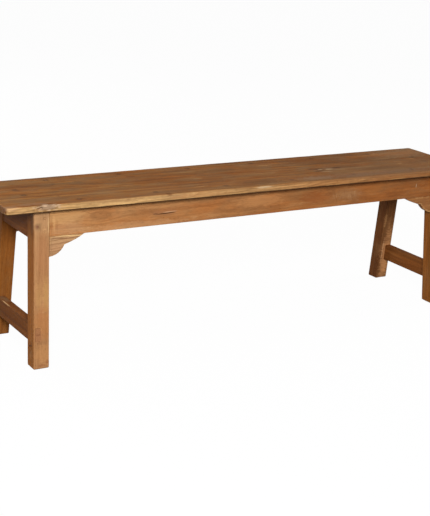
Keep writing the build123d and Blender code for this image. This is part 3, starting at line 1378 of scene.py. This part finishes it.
@dataclass
class Seat:
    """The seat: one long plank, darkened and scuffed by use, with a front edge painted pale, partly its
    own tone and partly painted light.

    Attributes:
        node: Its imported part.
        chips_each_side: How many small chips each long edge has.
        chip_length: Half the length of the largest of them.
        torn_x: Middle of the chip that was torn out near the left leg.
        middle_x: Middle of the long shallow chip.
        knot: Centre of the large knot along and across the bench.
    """

    node: str = "seat_plank"
    chips_each_side: int = 16
    chip_length: float = 0.02
    torn_x: float = -0.686
    middle_x: float = -0.009
    knot: tuple[float, float] = (0.3, -0.028)

    def __post_init__(self) -> None:
        """Measures the plank."""
        self.low, self.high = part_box(self.node)
        self.top = self.high.z

    def half_depth(self, x: float) -> float:
        """Half the plank's depth at a place along it, read from its two ends.

        Args:
            x: The place.

        Returns:
            Half the depth there.
        """
        inner = 0.02
        places = [vertex.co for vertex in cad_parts[self.node].data.vertices]
        left = max(place.y for place in places if place.x < self.low.x + inner)
        share = (x - self.low.x) / (self.high.x - self.low.x)
        return left + (self.high.y - left) * share

    def small_chips(self) -> list[Bite]:
        """Small chips and dents scattered along the two long edges.

        Returns:
            The chips.
        """
        shortest, within_share, most_turn, bare = 0.2, 0.96, 5, 0.35
        least_depth, least_height, depth_share, height_share = 0.0022, 0.0015, 0.1, 0.07
        draw = random.Random(41)
        chips = []
        for side in [-1] * self.chips_each_side + [1] * self.chips_each_side:
            length = draw.uniform(shortest, 1.0) * self.chip_length
            x = draw.uniform(self.low.x, self.high.x) * within_share
            place = (x, side * self.half_depth(x), self.top)
            reach = (length, least_depth + depth_share * length, least_height + height_share * length)
            chips.append(Bite(place, reach, draw.uniform(-most_turn, most_turn), bare))
        return chips

    def finish(self) -> WoodFinish:
        """The plank's wood: brown on top; along its long edges painted paler, partly its own tone and
        partly painted light.

        Returns:
            The finish.
        """
        return WoodFinish(
            pale=(190, 128, 62), deep=(162, 101, 44), streak=(98, 58, 25), amber=(181, 105, 40),
            lit_side=(236, 192, 130), lit_side_share=0.92, far=(146, 94, 46), far_lit_side=(190, 117, 62),
            drift=1.0, drift_start=-0.66, rubbed=(204, 156, 98), film=(150, 118, 82),
            film_share=0.3, heart_place=(0.03, -0.11), ring_width=0.0042, wander=0.06, lines=0.34,
            streaks=0.46, mottle=0.42, blots=0.44, roughness=0.64,
        )

    def bites(self) -> list[Bite]:
        """The larger chips: one torn out near the left leg, a long shallow one in the middle.

        Returns:
            The chips.
        """
        x, front = self.torn_x, -self.half_depth(self.torn_x)
        middle = (self.middle_x, -self.half_depth(self.middle_x), self.top - 0.003)
        return [
            Bite((x - 0.014, front, self.top - 0.007), (0.019, 0.0045, 0.005), -4, 1.0),
            Bite((x + 0.014, front, self.top - 0.005), (0.021, 0.0045, 0.004), 6, 1.0),
            Bite((x - 0.026, front, self.top - 0.013), (0.012, 0.0035, 0.0035), 10, 1.0),
            Bite((x + 0.034, front, self.top - 0.003), (0.012, 0.0035, 0.0025), -8, 0.9),
            Bite(middle, (0.032, 0.0035, 0.0025), 0, 0.9),
        ]

    def torn_marks(self) -> list[Stain]:
        """The greyed, splintered wood of the chip near the left leg.

        Returns:
            The stains.
        """
        place = (self.torn_x, -self.half_depth(self.torn_x), self.top - 0.006)
        beside = (self.torn_x - 0.03, place[1] + 0.02, self.top)
        grey, pale, dark = (176, 142, 112), (216, 186, 156), (96, 64, 42)
        return [
            Stain(place, (0.044, 0.012, 0.011), grey, 0.6, 1.6),
            Stain(place, (0.04, 0.012, 0.01), pale, 0.5, 3.2),
            Stain(place, (0.042, 0.012, 0.012), dark, 0.5, -3.0),
            Stain(beside, (0.07, 0.012, 0.01), grey, 0.3, 2.4),
        ]

    def knot_marks(self) -> list[Stain]:
        """Scratches and dark lines that cross in the eye of the large knot.

        Returns:
            The stains.
        """
        x, y, z = *self.knot, self.top
        pale, dark = (196, 162, 120), (88, 54, 28)
        return [
            Stain((x, y, z), (0.075, 0.03, 0.01), (132, 98, 70), 0.4, 1.6),
            Stain((x + 0.016, y - 0.002, z), (0.026, 0.009, 0.01), pale, 0.6, 1.8, (0, 0, 5)),
            Stain((x - 0.03, y + 0.013, z), (0.036, 0.008, 0.01), dark, 0.85, 0.8, (0, 0, -8)),
            Stain((x - 0.03, y - 0.014, z), (0.032, 0.006, 0.01), dark, 0.65, 0.8, (0, 0, 10)),
            Stain((x - 0.018, y + 0.002, z), (0.012, 0.006, 0.01), pale, 0.7, 1.2),
            Stain((x - 0.012, y - 0.028, z), (0.034, 0.005, 0.01), pale, 0.45, 0.9, (0, 0, -5)),
            Stain((x + 0.05, y + 0.008, z), (0.03, 0.008, 0.01), dark, 0.8, 0.8, (0, 0, 10)),
            Stain((x + 0.05, y - 0.014, z), (0.028, 0.005, 0.01), pale, 0.35, 1.2, (0, 0, -9)),
        ]

    def scuffs(self) -> list[Stain]:
        """Worn stretches of the front edge and of the top, and a painted shadow line under the front
        edge.

        Returns:
            The stains.
        """
        top, front = self.top, -self.half_depth(0.0)
        brown, worn, rosy = (112, 70, 36), (154, 114, 74), (192, 150, 114)
        return [
            # Painted shadow: a dark band along the lowest few millimetres of the front edge, and on the
            # front strip of the underside, stands in for the shadow line under the nose.
            Stain((0.0, front, self.low.z), (4.0, 0.04, 0.0037), (58, 32, 15), 0.9, 0.2, full=0.75),
            Stain((0.0, front, top), (4.0, 0.009, 0.0045), (164, 112, 64), 0.42, 0.9, full=0.5),
            Stain((-0.79, -0.14, top), (0.034, 0.022, 0.012), rosy, 0.45, 1.6),
            Stain((0.45, front, 0.441), (0.09, 0.02, 0.014), (134, 84, 48), 0.36, 1.6),
            Stain((-0.5, front, 0.444), (0.1, 0.02, 0.006), (160, 116, 78), 0.4, 2.6),
            Stain((-0.3, front, 0.442), (0.06, 0.02, 0.008), (168, 124, 86), 0.4, 2.4),
            Stain((-0.22, front, 0.441), (0.12, 0.02, 0.01), (196, 130, 78), 0.3, 1.8),
            Stain((-0.1, -0.105, top), (0.75, 0.05, 0.03), worn, 0.28, 2.6),
            Stain((0.56, -0.06, top), (0.34, 0.1, 0.03), worn, 0.36, 2.4),
            Stain((0.72, 0.1, top), (0.17, 0.075, 0.03), (178, 138, 98), 0.36, 2.8),
            Stain((0.36, 0.09, top), (0.2, 0.06, 0.03), brown, 0.42, 2.2),
            Stain((0.38, -0.01, top), (0.1, 0.03, 0.03), brown, 0.34, 2.2),
            Stain((0.0, -0.11, top), (0.12, 0.035, 0.02), brown, 0.32, 2.2),
            Stain((0.2, -0.115, top), (0.08, 0.025, 0.02), (172, 142, 112), 0.3, 2.4),
            Stain((-0.58, -0.1, top), (0.09, 0.03, 0.02), brown, 0.26, 2.4),
            Stain((0.5, -0.07, top), (0.12, 0.02, 0.01), brown, 0.35, 2.2),
            Stain((0.42, -0.12, top), (0.34, 0.03, 0.01), (138, 108, 84), 0.42, 1.8),
            Stain((0.52, front, top), (0.4, 0.012, 0.0085), (138, 96, 62), 0.6, 1.2, full=0.6),
            Stain((0.02, -0.1, top), (0.1, 0.03, 0.01), brown, 0.35, 2.2),
            Stain((-0.35, 0.02, top), (0.2, 0.03, 0.01), brown, 0.3, 2.4),
            Stain((-0.05, 0.06, top), (0.09, 0.02, 0.01), brown, 0.35, 2.4),
            Stain((-0.6, 0.03, top), (0.1, 0.02, 0.01), brown, 0.3, 2.4),
        ]

    def spots(self) -> list[Stain]:
        """Small spots and streaks of the top, and the pale wood of the long shallow chip.

        Returns:
            The stains.
        """
        top = self.top
        grey, pale, dark, brown = (166, 128, 90), (214, 164, 104), (84, 50, 26), (112, 70, 36)
        middle = (self.middle_x, -self.half_depth(self.middle_x), top - 0.0045)
        return [
            Stain(middle, (0.038, 0.008, 0.0035), (228, 198, 158), 0.5, 0.8),
            Stain((-0.62, -0.065, top), (0.006, 0.005, 0.004), dark, 0.6, 0.7),
            Stain((-0.581, -0.112, top), (0.024, 0.005, 0.004), dark, 0.55, 1.6, (0, 0, -4)),
            Stain((-0.322, -0.137, top), (0.012, 0.014, 0.02), brown, 0.6, 0.8),
            Stain((-0.194, -0.097, top), (0.034, 0.0035, 0.004), pale, 0.5, 1.2, (0, 0, 3)),
            Stain((-0.151, -0.011, top), (0.02, 0.004, 0.004), pale, 0.4, 2.0),
            Stain((0.14, 0.075, top), (0.034, 0.0045, 0.004), pale, 0.55, 1.8, (0, 0, -2)),
            Stain((0.106, -0.021, top), (0.014, 0.004, 0.004), grey, 0.5, 2.0),
            Stain((0.599, -0.034, top), (0.018, 0.004, 0.004), pale, 0.45, 1.8, (0, 0, 8)),
            Stain((0.691, 0.014, top), (0.02, 0.004, 0.004), pale, 0.45, 1.8, (0, 0, -6)),
            Stain((0.44, 0.02, top), (0.05, 0.005, 0.004), dark, 0.3, 2.0, (0, 0, -3)),
            Stain((-0.44, -0.03, top), (0.06, 0.004, 0.004), dark, 0.3, 2.0, (0, 0, 2)),
        ]

    def build(self) -> None:
        """Builds the plank."""
        knots = [Knot((*self.knot, self.top), 0.013, 0.35), Knot((-0.33, 0.07, self.top), 0.006, 0.4)]
        stains = self.scuffs() + self.torn_marks() + self.knot_marks() + self.spots()
        Board(
            self.node, "seat_wood", Grain.ALONG, self.finish(), self.bites() + self.small_chips(),
            knots, stains, nails="seat_nails", seed=1, slice_along=0.01, slice_across=0.014,
            rims=(0.0055, 0.009), wave=0.0005, edge_wear=0.0012, sheltered_below=True,
        ).build()


@dataclass
class Legs:
    """The four sloping legs.

    Attributes:
        woods: Each leg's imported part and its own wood.
    """

    woods: tuple[tuple[str, WoodFinish], ...] = (
        ("front_left_leg", HONEY),
        ("front_right_leg", BROWN),
        ("back_left_leg", BROWN),
        ("back_right_leg", DEEP_BROWN),
    )

    def front_left_marks(self) -> list[Stain]:
        """Yellow and rosy stretches of the front left leg, and the dirt at its foot.

        Returns:
            The stains.
        """
        rosy, yellow, red = (176, 116, 80), (206, 160, 98), (136, 76, 46)
        return [
            Stain((-0.694, -0.125, 0.405), (0.04, 0.02, 0.05), (212, 172, 126), 0.22, 0.8),
            Stain((-0.694, -0.133, 0.315), (0.03, 0.02, 0.07), rosy, 0.2, 0.8),
            Stain((-0.686, -0.145, 0.205), (0.014, 0.02, 0.075), yellow, 0.42, 0.9, full=0.2),
            Stain((-0.706, -0.145, 0.2), (0.014, 0.02, 0.06), yellow, 0.26, 1.2, full=0.2),
            Stain((-0.702, -0.15, 0.15), (0.01, 0.02, 0.03), rosy, 0.3, 1.2, full=0.2),
            Stain((-0.694, -0.15, 0.125), (0.04, 0.02, 0.06), (178, 114, 62), 0.42, 1.0),
            Stain((-0.694, -0.158, 0.04), (0.04, 0.02, 0.035), (204, 146, 90), 0.34, 1.0),
            Stain((-0.711, -0.153, 0.095), (0.016, 0.01, 0.026), rosy, 0.4, 1.2),
            Stain((-0.674, -0.125, 0.388), (0.003, 0.012, 0.028), (226, 186, 130), 0.4, 0.6),
            Stain((-0.686, -0.16, 0.019), (0.008, 0.01, 0.006), red, 0.45, 1.6),
            Stain((-0.704, -0.16, 0.01), (0.012, 0.01, 0.004), red, 0.4, 1.8),
            Stain((-0.708, -0.126, 0.388), (0.006, 0.01, 0.009), (142, 98, 74), 0.5, 1.0),
            Stain((-0.726, -0.131, 0.08), (0.006, 0.013, 0.013), (178, 112, 56), 0.5, 1.0),
            Stain((-0.726, -0.132, 0.06), (0.006, 0.016, 0.004), (84, 46, 24), 0.7, 0.8, (-14, 0, 0)),
            Stain((-0.726, -0.138, 0.036), (0.006, 0.012, 0.018), (150, 112, 76), 0.4, 1.4),
        ]

    def back_right_marks(self) -> list[Stain]:
        """The pale low part of the back right leg, and painted shade on its top under the apron.

        Returns:
            The stains.
        """
        dark, pale = (84, 46, 24), (186, 130, 84)
        return [
            Stain((0.682, 0.1, 0.215), (0.007, 0.014, 0.034), (196, 144, 94), 0.4, 1.4),
            Stain((0.683, 0.11, 0.11), (0.006, 0.014, 0.034), pale, 0.26, 1.6),
            Stain((0.708, 0.112, 0.08), (0.028, 0.026, 0.14), (214, 152, 100), 0.7, 1.4, full=0.3),
            Stain((0.7, 0.108, 0.2), (0.012, 0.016, 0.05), pale, 0.3, 1.4, full=0.2),
            Stain((0.69, 0.108, 0.1), (0.0035, 0.016, 0.06), (226, 176, 128), 0.5, 1.0),
            Stain((0.7, 0.1, 0.142), (0.024, 0.02, 0.012), dark, 0.4, 1.6),
            Stain((0.712, 0.108, 0.03), (0.006, 0.02, 0.02), (212, 146, 88), 0.5, 1.4),
            # Painted shade: the apron's shadow on the top of the leg.
            Stain((0.676, 0.086, 0.32), (0.05, 0.024, 0.08), dark, 0.55, 1.0),
            Stain((0.68, 0.082, 0.36), (0.06, 0.028, 0.05), (42, 24, 12), 0.85, 0.8, full=0.3),
        ]

    def build(self) -> None:
        """Builds the legs, each from its own length of wood."""
        low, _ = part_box("front_left_leg")
        knots = {"front_left_leg": [Knot((low.x + 0.002, low.y + 0.03, 0.062), 0.009, 0.4)]}
        stains = {"front_left_leg": self.front_left_marks(), "back_right_leg": self.back_right_marks()}
        for number, (node, wood) in enumerate(self.woods):
            Board(
                node, "leg_wood", Grain.UP, wood, [], knots.get(node, []), stains.get(node, []),
                nails="end_rail_nails", seed=10 + number, slice_along=0.011, slice_across=0.01,
                wave=0.0004, edge_wear=0.0007, edge_reach=0.009,
            ).build()


@dataclass
class Aprons:
    """The long boards under the seat's edges, with a crack in the front one.

    Attributes:
        crack_x: Middle of the crack.
        crack_z: Its height.
        crack_length: Half its length.
        crack_turn: How far it rises to the right, in degrees.
        jointed_ends: Length of each end that sits in a leg.
    """

    crack_x: float = -0.32
    crack_z: float = 0.3896
    crack_length: float = 0.035
    crack_turn: float = 1.5
    jointed_ends: float = 0.034

    def finish(self, drift: float) -> WoodFinish:
        """Wood of an apron that darkens towards its far end, partly its own tone and partly painted shade
        where the light falls off.

        Args:
            drift: How much it darkens, from 0 to 1.

        Returns:
            The finish.
        """
        # Partly painted light: paler faces on the long sides; the drift to the far colours is partly
        # painted shade.
        return WoodFinish(
            pale=(194, 130, 70), deep=(172, 104, 49), streak=(98, 50, 22), amber=(186, 110, 50),
            lit_side_share=0.28, far=(151, 83, 34), far_lit_side=(180, 119, 64), drift=drift,
            drift_start=-0.9, mottle=0.26, blots=0.34, heart_place=(0.012, 0.07), wander=0.035,
            lines=0.18, streaks=0.24,
        )

    def crack_marks(self, face: BoardAxes) -> list[Stain]:
        """The dark blotch at the crack's left end and the bruised wood round it.

        Args:
            face: Axes of the front apron.

        Returns:
            The stains.
        """
        x, z, turn = self.crack_x, self.crack_z, (0, -self.crack_turn, 0)
        bruise, above = face.on_front(x - 0.01, z + 0.003), face.on_front(x + 0.013, z + 0.0036)
        blotch = face.on_front(x - self.crack_length + 0.002, z + 0.001)
        return [
            Stain(bruise, (0.055, 0.01, 0.012), (150, 102, 74), 0.3, 1.8, turn),
            Stain(above, (0.026, 0.01, 0.0019), (206, 160, 122), 0.6, 0.3, turn, 0.6),
            Stain(face.on_front(x, z), (0.035, 0.01, 0.0019), (64, 38, 24), 0.85, 0.2, turn, 0.75),
            Stain(blotch, (0.012, 0.01, 0.0045), (110, 72, 50), 0.6, 1.2, turn),
        ]

    def scratched_patch(self, face: BoardAxes) -> list[Stain]:
        """Short upright scratches, dark and pale, on the right half.

        Args:
            face: Axes of the front apron.

        Returns:
            The stains.
        """
        count, most_turn, ragged = 10, 25, 1.8
        draw = random.Random(7)
        colours = ((112, 66, 34), (190, 148, 106))
        marks = []
        for number in range(count):
            place = face.on_front(draw.uniform(0.262, 0.372), draw.uniform(0.376, 0.404))
            reach = (draw.uniform(0.002, 0.004), 0.01, draw.uniform(0.007, 0.015))
            turn = (0, draw.uniform(-most_turn, most_turn), 0)
            strength = draw.uniform(0.16, 0.26)
            marks.append(Stain(place, reach, colours[number % 2], strength, ragged, turn))
        return marks

    def patches(self, face: BoardAxes) -> list[Stain]:
        """Pale, dark and warm stretches of the front apron.

        Args:
            face: Axes of the front apron.

        Returns:
            The stains.
        """
        at = face.on_front
        pale, shade, dark = (214, 166, 110), (146, 100, 62), (102, 60, 32)
        return [
            Stain(at(-0.62, 0.376), (0.07, 0.01, 0.026), (200, 158, 120), 0.2, 1.2),
            Stain(at(-0.63, 0.411), (0.09, 0.01, 0.03), pale, 0.4, 0.9),
            Stain(at(-0.667, 0.388), (0.003, 0.01, 0.034), shade, 0.4, 0.5),
            Stain(at(-0.6585, 0.392), (0.0035, 0.01, 0.03), pale, 0.4, 0.7),
            Stain(at(-0.65, 0.385), (0.003, 0.01, 0.03), shade, 0.3, 0.7),
            Stain(at(-0.42, 0.366), (0.24, 0.01, 0.012), (206, 158, 112), 0.3, 2.0),
            Stain(at(0.0, 0.4), (0.1, 0.01, 0.026), (200, 138, 84), 0.46, 1.6),
            Stain(at(0.2, 0.39), (0.07, 0.01, 0.022), (144, 74, 32), 0.4, 2.0),
            Stain(at(0.32, 0.39), (0.08, 0.01, 0.026), (150, 98, 58), 0.36, 2.6),
            Stain(at(0.325, 0.39), (0.06, 0.01, 0.02), (196, 158, 118), 0.12, 2.6),
            Stain(at(0.26, 0.4), (0.03, 0.01, 0.01), dark, 0.3, 2.6),
            Stain(at(0.42, 0.4), (0.05, 0.01, 0.018), (176, 108, 52), 0.4, 1.6),
            Stain(at(0.52, 0.38), (0.07, 0.01, 0.014), dark, 0.3, 2.2, (0, -4, 0)),
        ]

    def build(self) -> None:
        """Builds the front apron, with its crack, its knot and its marks, and the plain back one."""
        face = BoardAxes.measure("front_apron", Grain.ALONG)
        crack = face.on_front(self.crack_x, self.crack_z)
        cut = Bite(crack, (self.crack_length, 0.004, 0.0014), self.crack_turn, 0.0)
        knot = Knot(face.on_front(-0.522, 0.402), 0.012, 0.2)
        place = face.on_front(0.5985, 0.397)
        speck = Stain(place, (0.0018, 0.01, 0.0085), (216, 190, 158), 0.6, 0.5, (0, 14, 0))
        marks = self.patches(face) + self.scratched_patch(face) + [speck] + self.crack_marks(face)
        rows = (("front_apron", 0.95, [cut], [knot], marks), ("back_apron", 0.6, [], [], []))
        for number, (node, drift, bites, knots, stains) in enumerate(rows):
            Board(
                node, "apron_wood", Grain.ALONG, self.finish(drift), bites, knots, stains,
                seed=20 + number, jointed_ends=self.jointed_ends,
            ).build()


@dataclass
class Brackets:
    """The shaped brackets in the corners between the legs and the aprons.

    Attributes:
        grain_slope: How far the grain falls to the right, in degrees.
        heart_place: Heart of their tree, across and through them.
    """

    grain_slope: float = 3.8
    heart_place: tuple[float, float] = (0.2, 0.02)

    def finishes(self) -> dict[str, WoodFinish]:
        """The paler wood of the left brackets and the darker wood of the right ones.

        Returns:
            The finish of each side.
        """
        shared = {"heart_place": self.heart_place, "tree_lean": self.grain_slope, "streaks": 0.3}
        # The left brackets get much painted light, a paler colour, on the faces of the long sides.
        left = WoodFinish(
            pale=(200, 144, 82), deep=(178, 114, 58), streak=(108, 60, 28), lit_side=(210, 178, 140),
            lit_side_share=0.6, ring_width=0.0085, wander=0.02, lines=0.38, **shared,
        )
        right = WoodFinish(
            pale=(170, 106, 52), deep=(152, 90, 40), streak=(106, 58, 26), lit_side_share=0.14,
            ring_width=0.006, lines=0.34, **shared,
        )
        return {"left": left, "right": right}

    def marks(self, node: str) -> list[Stain]:
        """The pale and the dark line along the top of the front left bracket.

        Args:
            node: The bracket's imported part.

        Returns:
            The stains, none for the other brackets.
        """
        if node != "front_left_bracket":
            return []
        face = BoardAxes.measure(node, Grain.ALONG)
        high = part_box(node)[1].z
        turn = (0, self.grain_slope, 0)
        pale, dark = face.on_front(-0.62, high - 0.002), face.on_front(-0.632, high - 0.0075)
        return [
            Stain(pale, (0.056, 0.01, 0.0024), (232, 192, 132), 0.75, 0.5, turn),
            Stain(dark, (0.046, 0.01, 0.0013), (92, 52, 28), 0.65, 0.4, turn),
        ]

    def build(self) -> None:
        """Builds the four brackets."""
        seed = 30
        for row in ("front", "back"):
            for side, finish in self.finishes().items():
                node = f"{row}_{side}_bracket"
                Board(
                    node, "bracket_wood", Grain.ALONG, finish, stains=self.marks(node), seed=seed,
                    slice_along=0.006, slice_across=0.008, edge_wear=0.0006, jointed_ends=0.004,
                ).build()
                seed += 1


@dataclass
class EndFrames:
    """The short rails under the seat's ends and the low stretchers.

    Attributes:
        rail_joint: Length of each end of a rail that sits in a leg.
        stretcher_joint: The same for a stretcher, whose tenons go right through.
    """

    rail_joint: float = 0.038
    stretcher_joint: float = 0.05

    def tenon_ends(self, node: str) -> list[Stain]:
        """The rubbed ends of a stretcher's through tenons, as pale as the legs round them.

        Args:
            node: The stretcher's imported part.

        Returns:
            The stains.
        """
        low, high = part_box(node)
        x, _, z = (low + high) / 2
        reach, rubbed = (0.05, 0.014, 0.08), (176, 122, 82)
        return [Stain((x, y, z), reach, rubbed, 0.75, 0.4) for y in (low.y, high.y)]

    def marks(self, node: str) -> list[Stain]:
        """Worn and dirty places of a stretcher.

        Args:
            node: The stretcher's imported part.

        Returns:
            The stains.
        """
        if node == "right_stretcher":
            return [Stain((0.688, 0.086, 0.108), (0.006, 0.02, 0.02), (172, 116, 64), 0.5, 1.4)]
        low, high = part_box(node)
        edge = (low.x + 0.0014, 0.046, high.z - 0.0006)
        return [
            Stain((-0.711, 0.085, high.z), (0.012, 0.04, 0.004), (152, 122, 90), 0.5, 2.6),
            Stain(edge, (0.0024, 0.034, 0.0024), (216, 172, 120), 0.8, 0.4, full=0.6),
            Stain((-0.711, -0.1, high.z), (0.02, 0.03, 0.02), (60, 42, 30), 0.4, 1.6),
        ]

    def build(self) -> None:
        """Builds both ends."""
        knots = {"right_stretcher": [Knot((0.688, 0.094, 0.084), 0.006, 0.6)]}
        for number, side in enumerate(("left", "right")):
            rail, stretcher = f"{side}_end_rail", f"{side}_stretcher"
            Board(
                rail, "rail_wood", Grain.ACROSS, DARK_OAK, seed=40 + number,
                jointed_ends=self.rail_joint,
            ).build()
            Board(
                stretcher, "stretcher_wood", Grain.ACROSS, DARK_OAK, [], knots.get(stretcher, []),
                self.marks(stretcher) + self.tenon_ends(stretcher), seed=50 + number,
                jointed_ends=self.stretcher_joint,
            ).build()


@dataclass
class Fasteners:
    """Pegs, wedges and nails.

    Attributes:
        peg_inset: Width of the whittled rim round the end of a peg.
        peg_crown: Height of its crowned end.
        nail_inset: Width of each ring of facets on a nail's head.
        nail_crown: Height of each of those rings.
    """

    peg_inset: float = 0.0007
    peg_crown: float = 0.00025
    nail_inset: float = 0.0009
    nail_crown: float = 0.0002

    def _crowned(self, node: str, facing: Facing, inset: float, crown: float, rings: int) -> Piece:
        """Copies a group of fasteners and crowns their visible ends.

        Args:
            node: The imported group.
            facing: Which way their visible ends face.
            inset: Width of each ring of the crown.
            crown: Height of each ring.
            rings: How many rings the crown has.

        Returns:
            The new piece.
        """
        squarely, sharp_angle = 0.9, 20.0
        piece = copy_part(node, f"crowned_{node}")
        with edit_mode(piece):
            bpy.ops.mesh.select_all(action="DESELECT")
        for face in piece.data.polygons:
            face.select = face.normal.dot(facing.outward(face.center)) > squarely
        with edit_mode(piece):
            for _ in range(rings):
                bpy.ops.mesh.inset(thickness=inset, depth=crown, use_individual=True)
        inner = {vertex for face in piece.data.polygons if face.select for vertex in face.vertices}
        rim = piece.data.attributes.new("rim", "FLOAT", "POINT")
        for number, value in enumerate(rim.data):
            value.value = 0.0 if number in inner else 1.0
        finish_normals(piece, sharp_angle)
        return piece

    def build(self) -> None:
        """Builds the pegs and nails, and gives the wedges their wood."""
        peg_wood = PegFinish().material("end grain of pegs")
        iron = IronFinish().material("rusty iron")
        peg, nail = (self.peg_inset, self.peg_crown, 1), (self.nail_inset, self.nail_crown, 2)
        groups = (
            ("apron_pegs", Facing.OUT, peg, "peg_wood", peg_wood),
            ("seat_nails", Facing.UP, nail, "nail_iron", iron),
            ("end_rail_nails", Facing.OUT, nail, "nail_iron", iron),
            ("bracket_nails", Facing.DOWN, nail, "nail_iron", iron),
        )
        for node, facing, crown, slot, material in groups:
            dress(self._crowned(node, facing, *crown), node, material)
        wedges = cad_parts["stretcher_wedges"]
        wedge_wood = PegFinish((158, 106, 70), (128, 82, 52)).material("end grain of wedges")
        if not wedges.material_slots:
            wedges.data.materials.append(wedge_wood)
        for slot in wedges.material_slots:
            slot.material = wedge_wood
        log.info("stretcher_wedges: dressed")


@dataclass
class Studio:
    """Floor, light and camera.

    Attributes:
        target: Point that the camera looks at.
        distance: How far away the camera stands.
        azimuth: Angle of the view round the bench, in degrees.
        elevation: Its angle above the horizon.
        roll: How far the camera is tilted on its own axis.
        lens: Focal length, in millimetres, for a sensor of 36 mm on its long side.
        floor_size: Side of the floor.
        floor_seen: Colour of the floor to the eye.
        floor_bounce: Colour of the light that it throws back.
        white_share: How much of the floor's brightness is its own, so that it is seen white.
        ambient: Strength of the light from all round.
        gloss_share: Share of the white surroundings that glossy surfaces mirror.
        lamps: Name, place, side and power in watts of each soft lamp.
        lit: Point at which the lamps are aimed.
    """

    target: Place = (-0.054, 0.021, 0.186)
    distance: float = 3.593
    azimuth: float = -32.87
    elevation: float = 17.18
    roll: float = 3.55
    lens: float = 82.1
    floor_size: float = 80.0
    floor_seen: Colour = (252, 252, 252)
    floor_bounce: Colour = (148, 146, 143)
    white_share: float = 0.97
    ambient: float = 0.27
    gloss_share: float = 0.45
    lamps: tuple[tuple[str, Place, float, float], ...] = (
        ("key", (-2.0, -3.3, 2.1), 1.1, 158.0),
        ("back", (-1.6, 4.4, 1.2), 2.0, 90.0),
        ("right", (4.5, -0.2, 1.2), 2.0, 70.0),
    )
    lit: Place = (0, 0, 0.25)

    def build(self) -> None:
        """Sets up the whole studio."""
        self._camera()
        self._floor()
        self._world()
        for name, place, size, power in self.lamps:
            self._soft_lamp(name, place, size, power)
        bpy.context.scene.view_settings.view_transform = "Standard"

    def _camera(self) -> None:
        """Stands the camera where the photograph was taken."""
        angles = (self.azimuth, self.elevation, self.roll)
        turn, rise, roll = (math.radians(angle) for angle in angles)
        back = Vector((math.sin(turn) * math.cos(rise), -math.cos(turn) * math.cos(rise), math.sin(rise)))
        level = Vector((0, 0, 1)).cross(back).normalized()
        right = level * math.cos(roll) + back.cross(level) * math.sin(roll)
        up = back.cross(right)
        data = bpy.data.cameras.new("camera")
        data.lens = self.lens
        facing = Matrix((right, up, back)).transposed().to_quaternion()
        camera = self._hang("camera", data, Vector(self.target) + back * self.distance, facing)
        bpy.context.scene.camera = camera

    def _hang(self, name: str, data: bpy.types.ID, place: Vector, facing: Sequence[float]) -> Piece:
        """Puts a camera or a lamp in the scene.

        Args:
            name: Its name.
            data: Its data.
            place: Where it stands.
            facing: Its rotation, as a quaternion.

        Returns:
            The new object.
        """
        made = bpy.data.objects.new(name, data)
        bpy.context.scene.collection.objects.link(made)
        made.rotation_mode = "QUATERNION"
        made.rotation_quaternion = facing
        made.location = place
        return made

    def _floor(self) -> None:
        """Lays a white floor that keeps the bench's shadow and throws little light back."""
        bpy.ops.object.select_all(action="DESELECT")
        bpy.ops.mesh.primitive_plane_add(size=self.floor_size)
        floor = bpy.context.active_object
        floor.name = "floor"
        made, tree, shader = new_material("floor")
        glow = tree.node("ShaderNodeEmission", {"Strength": 1.0})
        path = tree.node("ShaderNodeLightPath", {}).outputs
        seen = tree.math("MAXIMUM", path["Is Camera Ray"], path["Is Glossy Ray"])
        seen = tree.math("MAXIMUM", seen, path["Is Transmission Ray"])
        colour = tree.mix(seen, self.floor_bounce, self.floor_seen)
        tree.feed(shader, {"Base Color": colour, "Roughness": 1.0, "Specular IOR Level": 0.0})
        inputs = {0: tree.times(seen, self.white_share), 1: shader.outputs[0], 2: glow.outputs[0]}
        blend = tree.node("ShaderNodeMixShader", inputs).outputs[0]
        tree.feed(made.node_tree.nodes["Material Output"], {"Surface": blend})
        floor.data.materials.append(made)

    def _world(self) -> None:
        """Fills in light from all round, which is seen white."""
        world = bpy.data.worlds.new("studio")
        bpy.context.scene.world = world
        world.use_nodes = True
        tree = Tree(world.node_tree)
        path = tree.node("ShaderNodeLightPath", {}).outputs
        gloss = tree.times(path["Is Glossy Ray"], self.gloss_share)
        seen = tree.math("MAXIMUM", path["Is Camera Ray"], gloss)
        seen = tree.math("MAXIMUM", seen, path["Is Transmission Ray"])
        strength = tree.math("MAXIMUM", seen, self.ambient)
        inputs = {"Color": (255, 255, 255), "Strength": strength}
        tree.feed(world.node_tree.nodes["Background"], inputs)

    def _soft_lamp(self, name: str, place: Place, size: float, power: float) -> None:
        """Hangs a square soft lamp that points at the bench.

        Args:
            name: Its name.
            place: Where it hangs.
            size: Its side.
            power: Its power, in watts.
        """
        data = bpy.data.lights.new(name, "AREA")
        data.size = size
        data.energy = power
        aim = Vector(self.lit) - Vector(place)
        self._hang(name, data, Vector(place), aim.to_track_quat("-Z", "Y"))


def main() -> None:
    """Builds the bench's looks and the studio round it."""
    logging.basicConfig(level=logging.INFO, format="%(message)s")
    for assembly in (Seat(), Legs(), Aprons(), Brackets(), EndFrames(), Fasteners(), Studio()):
        log.info("building %s", type(assembly).__name__)
        assembly.build()


if __name__ == "__main__":
    main()
